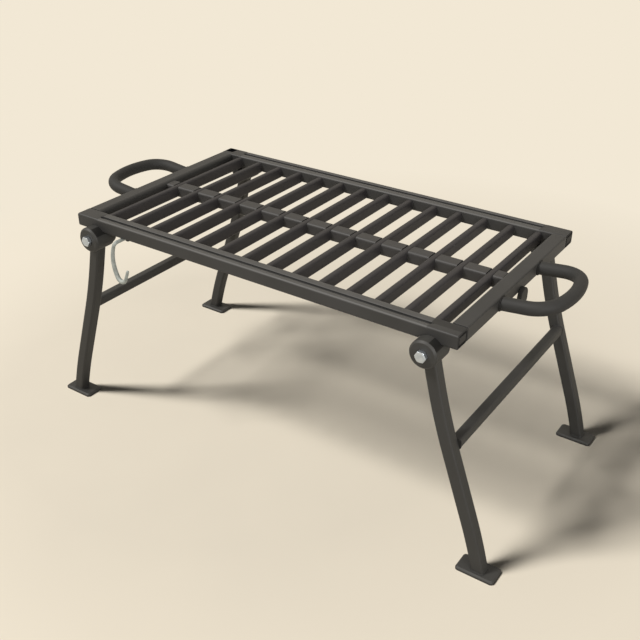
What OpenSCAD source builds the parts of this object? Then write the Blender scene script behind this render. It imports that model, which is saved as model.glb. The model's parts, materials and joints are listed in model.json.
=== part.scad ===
// Folding campfire grill: a heavy bar grate on two pairs of splayed legs.
// X runs along the grate, Y across it, Z up. The origin is on the ground below
// the middle of the grate. Every size is in millimetres.
// Each corner is drawn once, as the front left one, and mirrored to the others.

/* [Cooking frame] */
// Length of the frame along X, without the handles
frame_l = 600; // [520:1:720]
// Width of the frame along Y
frame_w = 341; // [280:1:420]
// Height of the cooking surface above the ground
frame_h = 322; // [290:1:400]
// Height of the side rails and of the end bars
rail_h = 18.4; // [16:0.1:22]
// Width of each side rail
rail_w = 24.4; // [23:0.1:30]
// Width of each end bar
end_w = 21.4; // [16:0.1:25]
// Rounding of the side rails' long edges
rail_edge_r = 2.4; // [0.5:0.1:2.5]
// Rounding of the end bars' outer top edge
end_edge_r = 2.2; // [2:0.1:10]
// Width of the groove along the top of each side rail
groove_w = 5.4; // [2:0.1:7]
// Depth of that groove
groove_d = 3; // [1:0.1:4]
// Plain length of rail left at each end of the groove
groove_end = 38; // [20:1:60]

/* [Cooking bars] */
// Width of each cross bar
bar_w = 9.6; // [5:0.1:12]
// Height of each cross bar
bar_h = 16.9; // [13:0.1:16.9]
// Depth of the cross bars' tops below the frame's top
bar_drop = 2.5; // [1:0.1:2.5]
// Rounding of the cross bars' edges
bar_edge_r = 2.6; // [0.4:0.1:2.8]
// Distance from the frame's end to the middle of the first cross bar
bar_margin = 39.1; // [32:0.1:50]
// Width of the middle bar that runs along X under the cross bars
mid_w = 20.4; // [12:0.1:30]
// Height of the middle bar
mid_h = 17.4; // [12:0.1:17.4]
// Depth of the middle bar's top below the frame's top
mid_drop = 2.5; // [2.5:0.1:4]
// Rounding of the middle bar's edges
mid_edge_r = 3.6; // [0.5:0.1:4]

/* [Hinges] */
// Distance from the frame's end to the hinge axis
hinge_inset = 34.2; // [30:0.1:45]
// Depth of the hinge axis below the frame's top
hinge_drop = 28; // [26:0.1:31]
// Radius of the hinge barrel
barrel_r = 18; // [16:0.1:20]
// Length of the hinge barrel along Y, without its front chamfer
barrel_l = 30; // [27:0.1:36]
// Chamfer on the barrel's outer end
barrel_chamfer = 2.5; // [1:0.1:4]
// Thickness of the plate that carries the hinge under the rail
lug_t = 6; // [4:0.1:7]
// Radius of that plate around the hinge axis
lug_r = 15.5; // [13:0.1:18]
// Half width of that plate where it meets the rail
lug_flare = 22; // [18:0.5:28]
// Radius of the hinge bolt's shank
bolt_r = 4; // [3:0.05:5]
// Height of the bolt's head
bolt_head_h = 5.4; // [4:0.1:8]
// Thickness of the nut
nut_h = 6.4; // [5:0.1:7]
// Thickness of the washer under the nut
washer_t = 1.6; // [1:0.1:2]
// Radius of the round stop in the barrel's back face
stop_r = 1.9; // [1.6:0.1:1.9]
// Distance of that stop from the hinge axis
stop_at = 7.5; // [7.2:0.1:7.6]
// Turn of the left legs from standing to folded, in degrees
left_fold = 95; // [60:1:95]
// Turn of the right legs from standing to folded, in degrees
right_fold = 83; // [60:1:83]

/* [Legs] */
// Thickness of each leg's square bar
leg_t = 16.8; // [12:0.1:17]
// Distance of the leg's middle inside the frame's outer face
leg_inset = 3.5; // [2:0.1:5]
// Lean of the leg at the hinge, from upright, in degrees
lean_top = 13.5; // [10:0.5:15]
// Lean of the leg's long middle stretch, in degrees
lean_mid = 19.4; // [17:0.2:22]
// Lean of the leg at the foot, in degrees
lean_foot = 15.2; // [12:0.2:17]
// Length of the straight stretch below the hinge axis
top_run = 43.2; // [30:0.2:55]
// Radius of the upper bend
bend_top_r = 880; // [500:10:950]
// Radius of the lower bend
bend_foot_r = 786; // [500:10:850]
// Height above the ground at which the lower bend ends
foot_run = 20; // [14:0.5:30]
// Thickness of the bar that joins each pair of legs
brace_t = 14; // [10:0.1:14]
// Rounding of that bar's edges
brace_edge_r = 2.4; // [0.5:0.1:4]
// Height of that bar's middle above the ground
brace_h = 172; // [110:0.5:200]
// Distance of the brace's middle outwards from the leg's middle
brace_out = 4; // [0:0.1:4]

/* [Feet] */
// Length of each foot plate along X
foot_l = 51.4; // [44:0.2:70]
// Width of each foot plate along Y
foot_w = 29.6; // [24:0.2:40]
// Thickness of each foot plate
foot_t = 5; // [3:0.1:6]
// Rounding of the foot plate's corners in plan
foot_corner_r = 4; // [2:0.5:8]
// Bevel on the foot plate's top edges
foot_bevel = 1.5; // [0.4:0.1:2]
// Distance of the plate's middle inside the middle of the leg's end
foot_shift = 2.4; // [0:0.1:6]
// Distance of the foot plates' middles inwards from the legs' middles, across
foot_in = 1.4; // [0:0.1:2]

/* [Handles] */
// Radius of the handle's round bar
handle_r = 8.7; // [6:0.1:8.8]
// Distance of each arm's middle from the middle of the grate
handle_y = 57.1; // [50:0.5:80]
// Reach of the handle's middle line beyond the frame's end
handle_reach = 67.5; // [60:0.5:90]
// Radius of the handle's corner bends
handle_bend_r = 33; // [20:0.5:40]
// Half angle of the bowed outer stretch, in degrees
handle_bow = 16; // [6:1:30]
// Rise of the handle towards its outer end, in degrees
handle_rise = 6.4; // [0:0.2:12]
// Depth of the arms' middle below the frame's top
handle_drop = 10; // [9.2:0.1:10.2]

/* [Hook and tab] */
// Radius of the hook's wire
wire_r = 2.6; // [1.8:0.1:2.6]
// Radius of the hook's belly
belly_r = 3.3; // [2.6:0.1:3.4]
// Radius of the hook's tip
tip_r = 2.1; // [1.6:0.1:2.6]
// Distance of the hook's pivot from the hinge axis
hook_at = 47.3; // [44:0.1:60]
// Depth of the hook's pivot below the underside of the rail
hook_drop = 3.3; // [3:0.1:3.6]
// Distance of the hanging hook in front of the frame's outer face
hook_out = 10.5; // [9:0.1:14]
// Radius of the bend at the hook's top
hook_bend_r = 5; // [4:0.1:7]
// Radius of the hook's long stretch
hook_back_r = 58.6; // [45:0.2:80]
// Radius of the hook's curl
hook_curl_r = 8.3; // [6:0.1:11]
// Length of the hook's straight tip
hook_tip = 15; // [6:0.5:20]
// Length along Y of the eye that holds the hook
eye_l = 9; // [6:0.1:10]
// Wall of the eye around the wire
eye_wall = 3.6; // [2.5:0.1:5]
// Width of the tab under the right end bar
tab_w = 21; // [14:0.5:40]
// Thickness of that tab
tab_t = 6; // [3:0.1:8]
// Length of the tab that hangs below the end bar
tab_hang = 20; // [12:0.5:30]
// Height of the tab that laps the end bar's outer face
tab_lap = 6; // [3:0.1:8]

/* [Clearances] */
// Gap between pieces that turn past each other
turn_gap = 0.3; // [0.2:0.05:0.5]
// Radial gap of a shaft in its hole
shaft_gap = 0.06; // [0.02:0.01:0.1]
// Gap between the bolt's head and the turning barrel
head_gap = 0.2; // [0.1:0.05:0.4]

/* [Hidden] */
$fn = 48;
bar_n = 14;
big = 400;
black = "#3a3833";
bar_black = "#45433e";
zinc = "#c4c3bf";
end_x = frame_l / 2;
side_y = frame_w / 2;
under_z = frame_h - rail_h;
inner_y = side_y - rail_w;
inner_x = end_x - end_w;
bar_top = frame_h - bar_drop;
mid_top = frame_h - mid_drop;
bar_pitch = (frame_l - 2 * bar_margin) / (bar_n - 1);
lap_z = (bar_top - bar_h + mid_top) / 2;
// The hinge: positions along Y are distances from the middle of the grate
hinge_x = end_x - hinge_inset;
hinge_z = frame_h - hinge_drop;
leg_y = side_y - leg_inset;
barrel_in = leg_y - leg_t / 2 - 4.4;
barrel_out = barrel_in + barrel_l;
barrel_face = barrel_out + barrel_chamfer;
lug_out = barrel_in - turn_gap;
lug_in = lug_out - lug_t;
head_in = barrel_face + head_gap;
nut_in = lug_in - washer_t - nut_h;
hex_r = 1.875 * bolt_r;
slot_depth = 4.6;
slot_gap = 0.3;
slot_spare = 6;
// The leg's middle line: heights and places of its bends
top_end_z = hinge_z - top_run * cos(lean_top);
top_end_x = hinge_x + top_run * sin(lean_top);
mid_start_z = top_end_z - bend_top_r * (sin(lean_mid) - sin(lean_top));
mid_start_x = top_end_x + bend_top_r * (cos(lean_top) - cos(lean_mid));
mid_end_z = foot_run + bend_foot_r * (sin(lean_mid) - sin(lean_foot));
mid_run = (mid_start_z - mid_end_z) / cos(lean_mid);
mid_end_x = mid_start_x + mid_run * sin(lean_mid);
low_start_x = mid_end_x + bend_foot_r * (cos(lean_foot) - cos(lean_mid));
low_run = foot_run / cos(lean_foot) + 6;
leg_end_x = low_start_x + (foot_run - foot_t) * tan(lean_foot);
foot_x = leg_end_x - foot_shift;
// Place of the leg's middle line at a height in its upper half
function lean_at(z) = asin(sin(lean_top) + (top_end_z - z) / bend_top_r);
function leg_bend_x(z) = top_end_x + bend_top_r * (cos(lean_top) - cos(lean_at(z)));
function leg_run_x(z) = mid_start_x + (mid_start_z - z) * tan(lean_mid);
function leg_x(z) = z > mid_start_z ? leg_bend_x(z) : leg_run_x(z);
// The handle's bends
bow_off = handle_y - handle_bend_r;
bow_r = handle_bend_r + bow_off / sin(handle_bow);
bow_depth = bow_r - (bow_r - handle_bend_r) * cos(handle_bow);
arm_run = handle_reach - bow_depth;
arm_in = 4;
// The hook
hook_x = hinge_x - hook_at;
hook_z = under_z - hook_drop;
hook_y = side_y + hook_out;
hook_lean = 24;
hook_turn = 49.8;
hook_curl = 132.2;
eye_out = leg_y - leg_t / 2 - 0.8;
eye_in = eye_out - eye_l;
collar_r = hook_drop - 0.2;
collar_l = eye_in - turn_gap - inner_y - 0.3;

// Square with rounded corners
module rsquare(w, h, r) {
  square([w - 2 * r, h], center = true);
  square([w, h - 2 * r], center = true);
  for (sx = [-1, 1], sy = [-1, 1])
    translate([sx * (w / 2 - r), sy * (h / 2 - r)])
      circle(r);
}

// Middle line of a bent bar, stretch by stretch, as a list of [x, z, heading].
// A step is [length, 0], or [radius, angle] for a bend from +Z towards +X.
function arc_end(s, r, turn) =
  let (k = sign(turn) * r)
  [s[0] + k * (cos(s[2]) - cos(s[2] + turn)), s[1] + k * (sin(s[2] + turn) - sin(s[2])), s[2] + turn];
function run_end(s, l) = [s[0] + l * sin(s[2]), s[1] + l * cos(s[2]), s[2]];
function arc_points(s, step, n) = [for (j = [1 : n]) arc_end(s, step[0], step[1] * j / n)];
function stretch(s, step, fine) =
  step[1] == 0 ? [run_end(s, step[0])] : arc_points(s, step, ceil(abs(step[1]) / fine));
function middle_line(steps, s, fine, i = 0) =
  i == len(steps) ? [s] :
  let (points = stretch(s, steps[i], fine))
  concat([s], points_but_last(points), middle_line(steps, points[len(points) - 1], fine, i + 1));
function points_but_last(points) = [for (j = [0 : 1 : len(points) - 2]) points[j]];

// Outline of a flat bar of width w along a middle line
function bar_outline(line, w) = concat(
  [for (p = line) [p[0] + w / 2 * cos(p[2]), p[1] - w / 2 * sin(p[2])]],
  [for (j = [len(line) - 1 : -1 : 0])
    [line[j][0] - w / 2 * cos(line[j][2]), line[j][1] + w / 2 * sin(line[j][2])]]
);

// Rings of a round bar along a flat middle line: [centre, across, aside, radius]
function flat_rings(line, r) =
  [for (p = line) [[p[0], 0, p[1]], [cos(p[2]), 0, -sin(p[2])], [0, 1, 0], r]];

// Round bar through its rings, with n sides
module tube(rings, n) {
  last = len(rings) - 1;
  points = [
    for (g = rings, k = [0 : n - 1])
      g[0] + g[3] * (cos(360 * k / n) * g[1] + sin(360 * k / n) * g[2])
  ];
  sides = [
    for (j = [0 : last - 1], k = [0 : n - 1])
      [j * n + k, (j + 1) * n + k, (j + 1) * n + (k + 1) % n, j * n + (k + 1) % n]
  ];
  caps = [[for (k = [0 : n - 1]) k], [for (k = [n - 1 : -1 : 0]) last * n + k]];
  polyhedron(points = points, faces = concat(sides, caps));
}

// Places what is drawn for the front left corner at any corner
module corner(left, front) {
  mirror([left ? 0 : 1, 0, 0])
    mirror([0, front ? 0 : 1, 0])
      children();
}

// Cylinder along Y, between two distances in front of the middle
module y_rod(r, near, far) {
  translate([0, -far, 0])
    rotate([-90, 0, 0])
      cylinder(r = r, h = far - near);
}

// One long side rail with its groove and the round seats above its hinges
module side_rail(front) {
  mirror([0, front ? 0 : 1, 0])
    color(black)
      difference() {
        translate([-end_x, -side_y + rail_w / 2, under_z + rail_h / 2])
          rotate([90, 0, 90])
            linear_extrude(frame_l)
              rsquare(rail_w, rail_h, rail_edge_r);
        groove_cut();
        for (side = [0, 1])
          mirror([side, 0, 0])
            translate([-hinge_x, 0, hinge_z])
              y_rod(barrel_r + turn_gap, lug_out, side_y + 5);
      }
}

// The slot along the rail's top, round at both ends
module groove_cut() {
  half = end_x - groove_end - groove_w / 2;
  y = -side_y + rail_w / 2 - 1.6;
  translate([-half, y - groove_w / 2, frame_h - groove_d])
    cube([2 * half, groove_w, groove_d + 1]);
  for (side = [-1, 1])
    translate([side * half, y, frame_h - groove_d])
      cylinder(r = groove_w / 2, h = groove_d + 1);
}

// End bar between the rails, with a wide rounding on its outer top edge
module end_bar(left) {
  mirror([left ? 0 : 1, 0, 0])
    color(black)
      translate([-end_x, inner_y, 0])
        rotate([90, 0, 0])
          linear_extrude(2 * inner_y)
            end_section();
}

// Section of an end bar, seen along Y: the outer face is at zero
module end_section() {
  r = end_edge_r;
  s = 1.6;
  translate([0, under_z + s])
    square([end_w, rail_h - s - r]);
  translate([s, under_z])
    square([end_w - s, rail_h - r]);
  translate([s, under_z + s])
    circle(s);
  translate([r, under_z])
    square([end_w - r, rail_h - s]);
  translate([r, under_z])
    square([end_w - r - s, rail_h]);
  translate([r, frame_h - r])
    circle(r);
  translate([end_w - s, frame_h - s])
    circle(s);
}

// One cross bar with the half lap that drops over the middle bar
module cross_bar(i) {
  color(bar_black)
    translate([-end_x + bar_margin + (i - 1) * bar_pitch, 0, 0])
      difference() {
        translate([0, inner_y, bar_top - bar_h / 2])
          rotate([90, 0, 0])
            linear_extrude(2 * inner_y)
              rsquare(bar_w, bar_h, bar_edge_r);
        translate([-bar_w, -mid_w / 2, lap_z - big])
          cube([2 * bar_w, mid_w, big]);
      }
}

// The middle bar with a notch for each cross bar
module mid_bar() {
  color(bar_black)
    difference() {
      translate([-inner_x, 0, mid_top - mid_h / 2])
        rotate([90, 0, 90])
          linear_extrude(2 * inner_x)
            rsquare(mid_w, mid_h, mid_edge_r);
      for (i = [0 : bar_n - 1])
        translate([-end_x + bar_margin + i * bar_pitch - bar_w / 2, -mid_w, lap_z])
          cube([bar_w, 2 * mid_w, big]);
    }
}

// Carrying handle: one round bar bent to a bowed loop, butted to the end bar
module handle(left) {
  steps = [
    [arm_run + arm_in, 0], [handle_bend_r, 90 - handle_bow], [bow_r, 2 * handle_bow],
    [handle_bend_r, 90 - handle_bow], [arm_run + arm_in, 0]
  ];
  mirror([left ? 1 : 0, 0, 0])
    color(black)
      difference() {
        translate([end_x, -handle_y, frame_h - handle_drop])
          rotate([0, -handle_rise, 0])
            rotate([90, 0, 90])
              tube(flat_rings(middle_line(steps, [0, -arm_in, 0], 9), handle_r), 24);
        translate([end_x - big, -big / 2, frame_h - big / 2])
          cube([big, big, big]);
      }
}

// Small round ended tab on the right end bar's outer face
module end_tab() {
  color(black)
    translate([end_x, 0, 0])
      rotate([90, 0, 90])
        linear_extrude(tab_t)
          union() {
            translate([-tab_w / 2, under_z - tab_hang + tab_w / 2])
              square([tab_w, tab_hang + tab_lap - tab_w]);
            translate([0, under_z - tab_hang + tab_w / 2])
              circle(tab_w / 2);
            translate([0, under_z + tab_lap - tab_w / 2])
              circle(tab_w / 2);
          }
}

// Hinge plate under the rail, with its bolt hole and the round stop
module lug(left, front) {
  corner(left, front)
    color(black)
      translate([-hinge_x, 0, hinge_z]) {
        difference() {
          union() {
            y_rod(lug_r, lug_in, lug_out);
            translate([0, -lug_in, 0])
              rotate([90, 0, 0])
                linear_extrude(lug_t)
                  lug_flare_section();
          }
          y_rod(bolt_r + shaft_gap, lug_in - 1, lug_out + 1);
          translate([-2 * lug_r, -lug_out - 1, under_z - hinge_z])
            cube([4 * lug_r, lug_t + 2, 2 * lug_r]);
        }
        translate([0, 0, stop_at])
          y_rod(stop_r, lug_in + lug_t / 2, lug_out + slot_depth - slot_gap);
      }
}

// Flared part of the hinge plate, seen along Y
module lug_flare_section() {
  rise = under_z - hinge_z;
  polygon([
    [-lug_r, 0], [lug_r, 0], [lug_r + 1, rise - 4], [lug_flare, rise],
    [-lug_flare, rise], [-lug_r - 1, rise - 4]
  ]);
}

// Turning hinge barrel with its bolt hole and the curved slot, whose end walls
// meet the stop
module knuckle(left, front) {
  slot_r = stop_r + slot_gap;
  slot_spread = asin(slot_r / stop_at);
  open = (left ? left_fold : right_fold) + slot_spare;
  corner(left, front)
    color(black)
      translate([-hinge_x, 0, hinge_z])
        difference() {
          union() {
            y_rod(barrel_r, barrel_in, barrel_out);
            translate([0, -barrel_out, 0])
              rotate([90, 0, 0])
                cylinder(r1 = barrel_r, r2 = barrel_r - barrel_chamfer, h = barrel_chamfer);
          }
          y_rod(bolt_r + shaft_gap, barrel_in - 1, barrel_face + 1);
          translate([0, -barrel_in, 0])
            rotate([90, 0, 0])
              translate([0, 0, -1])
                rotate([0, 0, 90 - open - slot_spread])
                  rotate_extrude(angle = open + 2 * slot_spread)
                    translate([stop_at - slot_r, 0])
                      square([2 * slot_r, slot_depth + 1]);
        }
}

// The four hinge bolts
module hinge_bolts() {
  color(zinc)
    for (left = [true, false], front = [true, false])
      corner(left, front)
        translate([-hinge_x, 0, hinge_z]) {
          y_rod(bolt_r, nut_in - 1.5, head_in);
          translate([0, -head_in, 0])
            rotate([90, 0, 0])
              intersection() {
                cylinder(r = hex_r, h = bolt_head_h, $fn = 6);
                cylinder(r1 = hex_r + 3.4, r2 = hex_r - 0.9, h = bolt_head_h);
              }
        }
}

// The four hinge nuts
module hinge_nuts() {
  color(black)
    for (left = [true, false], front = [true, false])
      corner(left, front)
        translate([-hinge_x, 0, hinge_z])
          difference() {
            translate([0, -nut_in, 0])
              rotate([90, 0, 0])
                cylinder(r = hex_r, h = nut_h, $fn = 6);
            y_rod(bolt_r + shaft_gap, nut_in - 1, nut_in + nut_h + 1);
          }
}

// The four washers between nut and hinge plate
module hinge_washers() {
  color(black)
    for (left = [true, false], front = [true, false])
      corner(left, front)
        translate([-hinge_x, 0, hinge_z])
          difference() {
            y_rod(hex_r + 0.6, lug_in - washer_t, lug_in);
            y_rod(bolt_r + 2 * shaft_gap, lug_in - washer_t - 1, lug_in + 1);
          }
}

// One leg: a square bar in a shallow S from the barrel down to the foot plate
module leg(left, front) {
  steps = [
    [top_run, 0], [bend_top_r, lean_mid - lean_top], [mid_run, 0],
    [bend_foot_r, lean_foot - lean_mid], [low_run, 0]
  ];
  line = middle_line(steps, [0, 0, lean_top], 0.6);
  corner(left, front)
    color(black)
      difference() {
        translate([-hinge_x, -leg_y + leg_t / 2, hinge_z])
          rotate([90, 0, 0])
            linear_extrude(leg_t)
              rotate(180)
                polygon(bar_outline(line, leg_t));
        translate([-hinge_x, 0, hinge_z])
          y_rod(barrel_r, barrel_in, barrel_out);
        translate([-frame_l, -frame_w, foot_t - big])
          cube([frame_l, frame_w, big]);
      }
}

// Bar between the front and the back leg of one side
module brace(left) {
  span = leg_y - leg_t / 2;
  mirror([left ? 0 : 1, 0, 0])
    color(black)
      translate([-leg_x(brace_h) - brace_out, span, brace_h])
        rotate([90, 0, 0])
          linear_extrude(2 * span)
            rsquare(brace_t, brace_t, brace_edge_r);
}

// Flat foot plate with rounded corners and bevelled top edges
module foot(left, front) {
  corner(left, front)
    color(black)
      translate([-foot_x, -leg_y + foot_in, 0])
        intersection() {
          linear_extrude(foot_t)
            rsquare(foot_l, foot_w, foot_corner_r);
          translate([0, foot_w, 0])
            rotate([90, 0, 0])
              linear_extrude(2 * foot_w)
                bevelled(foot_l);
          translate([-foot_l, 0, 0])
            rotate([90, 0, 90])
              linear_extrude(2 * foot_l)
                bevelled(foot_w);
        }
}

// Side view of a plate with its top corners cut off
module bevelled(w) {
  polygon([
    [-w / 2, 0], [w / 2, 0], [w / 2, foot_t - foot_bevel], [w / 2 - foot_bevel, foot_t],
    [-w / 2 + foot_bevel, foot_t], [-w / 2, foot_t - foot_bevel]
  ]);
}

// Eye under the front rail that carries the hook
module hook_eye() {
  r = wire_r + shaft_gap + eye_wall;
  color(black)
    translate([-hook_x, 0, hook_z])
      difference() {
        union() {
          y_rod(wire_r + shaft_gap + eye_wall, eye_in, eye_out);
          translate([-r, -eye_out, 0])
            cube([2 * r, eye_l, hook_drop]);
        }
        y_rod(wire_r + shaft_gap, eye_in - 1, eye_out + 1);
        translate([-2 * r, -eye_out - 1, hook_drop])
          cube([4 * r, eye_l + 2, 4 * r]);
      }
}

// Rings of the hook's wire, from inside its top run to its rounded tip
function hook_rings() =
  let (
    down = [-sin(hook_lean), 0, -cos(hook_lean)],
    across = [cos(hook_lean), 0, -sin(hook_lean)],
    front = [0, -1, 0],
    r = wire_r - 0.01,
    corner_at = [0, -hook_y + hook_bend_r, 0],
    start = [-hook_bend_r * sin(hook_lean), -hook_bend_r * cos(hook_lean), 180 + hook_lean],
    steps = [[hook_back_r, -hook_turn], [hook_curl_r, -hook_curl], [hook_tip, 0]],
    line = concat(
      middle_line([steps[0]], start, 5),
      points_after_first(middle_line([steps[1], steps[2]], hook_mid(start), 11))
    ),
    tip = line[len(line) - 1]
  )
  concat(
    [[corner_at - 3 * front, across, -down, r]],
    [for (a = [0 : 15 : 75])
      [corner_at + hook_bend_r * (sin(a) * front + (1 - cos(a)) * down), across,
        -cos(a) * down + sin(a) * front, r]],
    [for (j = [0 : len(line) - 1])
      let (p = line[j])
      [[p[0], -hook_y, p[1]], [-cos(p[2]), 0, sin(p[2])], front, hook_r(j / (len(line) - 1))]],
    [for (e = [[0.5, 0.87], [0.87, 0.5]])
      let (q = run_end(tip, e[0] * tip_r))
      [[q[0], -hook_y, q[1]], [-cos(q[2]), 0, sin(q[2])], front, e[1] * tip_r]]
  );
// The wire swells to its belly and thins to its tip
function hook_r(u) =
  u < 0.25 ? wire_r + (belly_r - wire_r) * 4 * u :
  u < 0.65 ? belly_r : belly_r - (belly_r - tip_r) * (u - 0.65) / 0.35;
function hook_mid(start) = arc_end(start, hook_back_r, -hook_turn);
function points_after_first(points) = [for (j = [1 : len(points) - 1]) points[j]];

// Wire hook: its top turns in the eye and its curl hangs in front of the rail
module hook() {
  color(zinc)
    translate([-hook_x, 0, hook_z]) {
      y_rod(wire_r, eye_in - turn_gap - 0.1, hook_y - hook_bend_r);
      y_rod(collar_r, eye_in - turn_gap - collar_l, eye_in - turn_gap);
      tube(hook_rings(), 16);
    }
}

side_rail(true);  // front_rail
side_rail(false);  // back_rail
end_bar(true);  // left_end_bar
end_bar(false);  // right_end_bar
mid_bar();
cross_bar(1);  // cross_bar_01
cross_bar(2);  // cross_bar_02
cross_bar(3);  // cross_bar_03
cross_bar(4);  // cross_bar_04
cross_bar(5);  // cross_bar_05
cross_bar(6);  // cross_bar_06
cross_bar(7);  // cross_bar_07
cross_bar(8);  // cross_bar_08
cross_bar(9);  // cross_bar_09
cross_bar(10);  // cross_bar_10
cross_bar(11);  // cross_bar_11
cross_bar(12);  // cross_bar_12
cross_bar(13);  // cross_bar_13
cross_bar(14);  // cross_bar_14
handle(true);  // left_handle
handle(false);  // right_handle
end_tab();
lug(true, true);  // front_left_lug
lug(false, true);  // front_right_lug
lug(true, false);  // back_left_lug
lug(false, false);  // back_right_lug
hinge_bolts();
hinge_nuts();
hinge_washers();
hook_eye();
leg(true, true);  // left_front_leg
leg(true, false);  // left_back_leg
knuckle(true, true);  // left_front_knuckle
knuckle(true, false);  // left_back_knuckle
brace(true);  // left_brace
foot(true, true);  // left_front_foot
foot(true, false);  // left_back_foot
leg(false, true);  // right_front_leg
leg(false, false);  // right_back_leg
knuckle(false, true);  // right_front_knuckle
knuckle(false, false);  // right_back_knuckle
brace(false);  // right_brace
foot(false, true);  // right_front_foot
foot(false, false);  // right_back_foot
hook();
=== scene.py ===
"""Folding campfire grill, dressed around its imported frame.

The grate is a frame of two grooved side rails and two end bars, crossed by
fourteen bars and one middle bar. It stands on two pairs of splayed square legs
that fold in under it about hinge barrels. Every size in the classes is in
millimetres. X runs along the grate, Y across it and Z up, and the front is at
negative Y. What repeats at the four corners is drawn once, for the front left
corner, and mirrored to the others.
"""

import json
import logging
import math
from dataclasses import dataclass, field
from enum import Enum
from typing import Any, Callable, Sequence

import bmesh
import bpy
from mathutils import Matrix, Vector

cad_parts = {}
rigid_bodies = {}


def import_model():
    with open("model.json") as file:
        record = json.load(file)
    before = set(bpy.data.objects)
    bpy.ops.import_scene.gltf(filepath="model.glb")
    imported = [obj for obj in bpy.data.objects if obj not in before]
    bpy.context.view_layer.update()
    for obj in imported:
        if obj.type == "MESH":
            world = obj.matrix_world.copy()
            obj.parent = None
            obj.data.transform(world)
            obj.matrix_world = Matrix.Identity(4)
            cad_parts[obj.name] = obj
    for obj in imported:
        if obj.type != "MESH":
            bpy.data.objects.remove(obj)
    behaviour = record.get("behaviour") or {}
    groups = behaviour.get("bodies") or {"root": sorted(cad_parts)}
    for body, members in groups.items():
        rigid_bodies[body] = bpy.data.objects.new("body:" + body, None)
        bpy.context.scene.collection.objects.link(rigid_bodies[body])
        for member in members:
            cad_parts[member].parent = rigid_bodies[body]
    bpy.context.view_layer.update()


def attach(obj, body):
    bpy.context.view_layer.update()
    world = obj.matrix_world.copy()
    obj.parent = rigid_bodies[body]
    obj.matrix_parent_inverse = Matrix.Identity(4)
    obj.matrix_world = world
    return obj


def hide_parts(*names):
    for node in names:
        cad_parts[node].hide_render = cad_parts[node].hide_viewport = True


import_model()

LOG = logging.getLogger("campfire_grill")
MM = 0.001
Ring = list[Vector]
Pair = tuple[float, float]
Colour = tuple[float, float, float]


class Side(Enum):
    """The two ends of the grate, as the sign that mirrors the left one."""

    LEFT = 1.0
    RIGHT = -1.0


class Row(Enum):
    """The front and the back of the grate, as the sign that mirrors the front."""

    FRONT = 1.0
    BACK = -1.0


class Body(Enum):
    """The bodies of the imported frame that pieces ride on."""

    FRAME = "frame"
    LEFT_LEGS = "left_legs"
    RIGHT_LEGS = "right_legs"
    HOOK = "hook"


class Slot(Enum):
    """The record's material slots."""

    FRAME = "frame_steel"
    BARS = "bar_steel"
    ZINC = "zinc_steel"


# Shared sizes of the frame, in millimetres


@dataclass(frozen=True)
class Frame:
    """The sizes that several sub-assemblies take from the frame."""

    end_x: float = 300.0
    side_y: float = 170.5
    top: float = 322.0
    under: float = 303.6
    rail_w: float = 24.4
    end_w: float = 21.4
    hinge_x: float = 265.8
    hinge_z: float = 294.0
    leg_y: float = 167.0
    leg_t: float = 16.8

    @property
    def inner_y(self) -> float:
        """Distance of the rails' inner faces from the middle."""
        return self.side_y - self.rail_w

    @property
    def inner_x(self) -> float:
        """Distance of the end bars' inner faces from the middle."""
        return self.end_x - self.end_w

    @property
    def rail_h(self) -> float:
        """Height of the rails and of the end bars."""
        return self.top - self.under


FRAME = Frame()


# Outlines


def arc(centre: Pair, radius: float, start: float, end: float, steps: int) -> list[Pair]:
    """Gives points along an arc.

    Args:
        centre: Middle of the arc.
        radius: Its radius.
        start: First angle, in degrees.
        end: Last angle, in degrees.
        steps: Number of stretches.

    Returns:
        The points, both ends included.
    """
    angles = [math.radians(start + (end - start) * k / steps) for k in range(steps + 1)]
    return [(centre[0] + radius * math.cos(a), centre[1] + radius * math.sin(a)) for a in angles]


def rounded_box(low: Pair, high: Pair, radii: Sequence[float], steps: int = 4) -> list[Pair]:
    """Gives the outline of a rectangle with round corners.

    Args:
        low: Its lower left corner.
        high: Its upper right corner.
        radii: Radius of the lower left, lower right, upper right and upper left corner.
        steps: Stretches in each corner.

    Returns:
        The outline, counter-clockwise.
    """
    corners = (
        ((low[0], low[1]), (1, 1), 180.0),
        ((high[0], low[1]), (-1, 1), 270.0),
        ((high[0], high[1]), (-1, -1), 0.0),
        ((low[0], high[1]), (1, -1), 90.0),
    )
    points: list[Pair] = []
    for (point, inward, start), r in zip(corners, radii):
        centre = (point[0] + inward[0] * r, point[1] + inward[1] * r)
        points += arc(centre, r, start, start + 90.0, steps)
    return points


def shrink(points: Sequence[Pair], by: float) -> list[Pair]:
    """Draws an outline in towards the middle of its box by a distance on each side."""
    xs, ys = [p[0] for p in points], [p[1] for p in points]
    cx, cy = (min(xs) + max(xs)) / 2, (min(ys) + max(ys)) / 2
    sx = 1 - 2 * by / (max(xs) - min(xs))
    sy = 1 - 2 * by / (max(ys) - min(ys))
    return [(cx + (x - cx) * sx, cy + (y - cy) * sy) for x, y in points]


def across_x(x: float, outline: Sequence[Pair]) -> Ring:
    """Stands an outline of (y, z) pairs at a place along X."""
    return [Vector((x, y, z)) for y, z in outline]


def across_y(y: float, outline: Sequence[Pair]) -> Ring:
    """Stands an outline of (x, z) pairs at a place along Y."""
    return [Vector((x, y, z)) for x, z in outline]


def across_z(z: float, outline: Sequence[Pair]) -> Ring:
    """Lays an outline of (x, y) pairs at a height."""
    return [Vector((x, y, z)) for x, y in outline]


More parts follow.
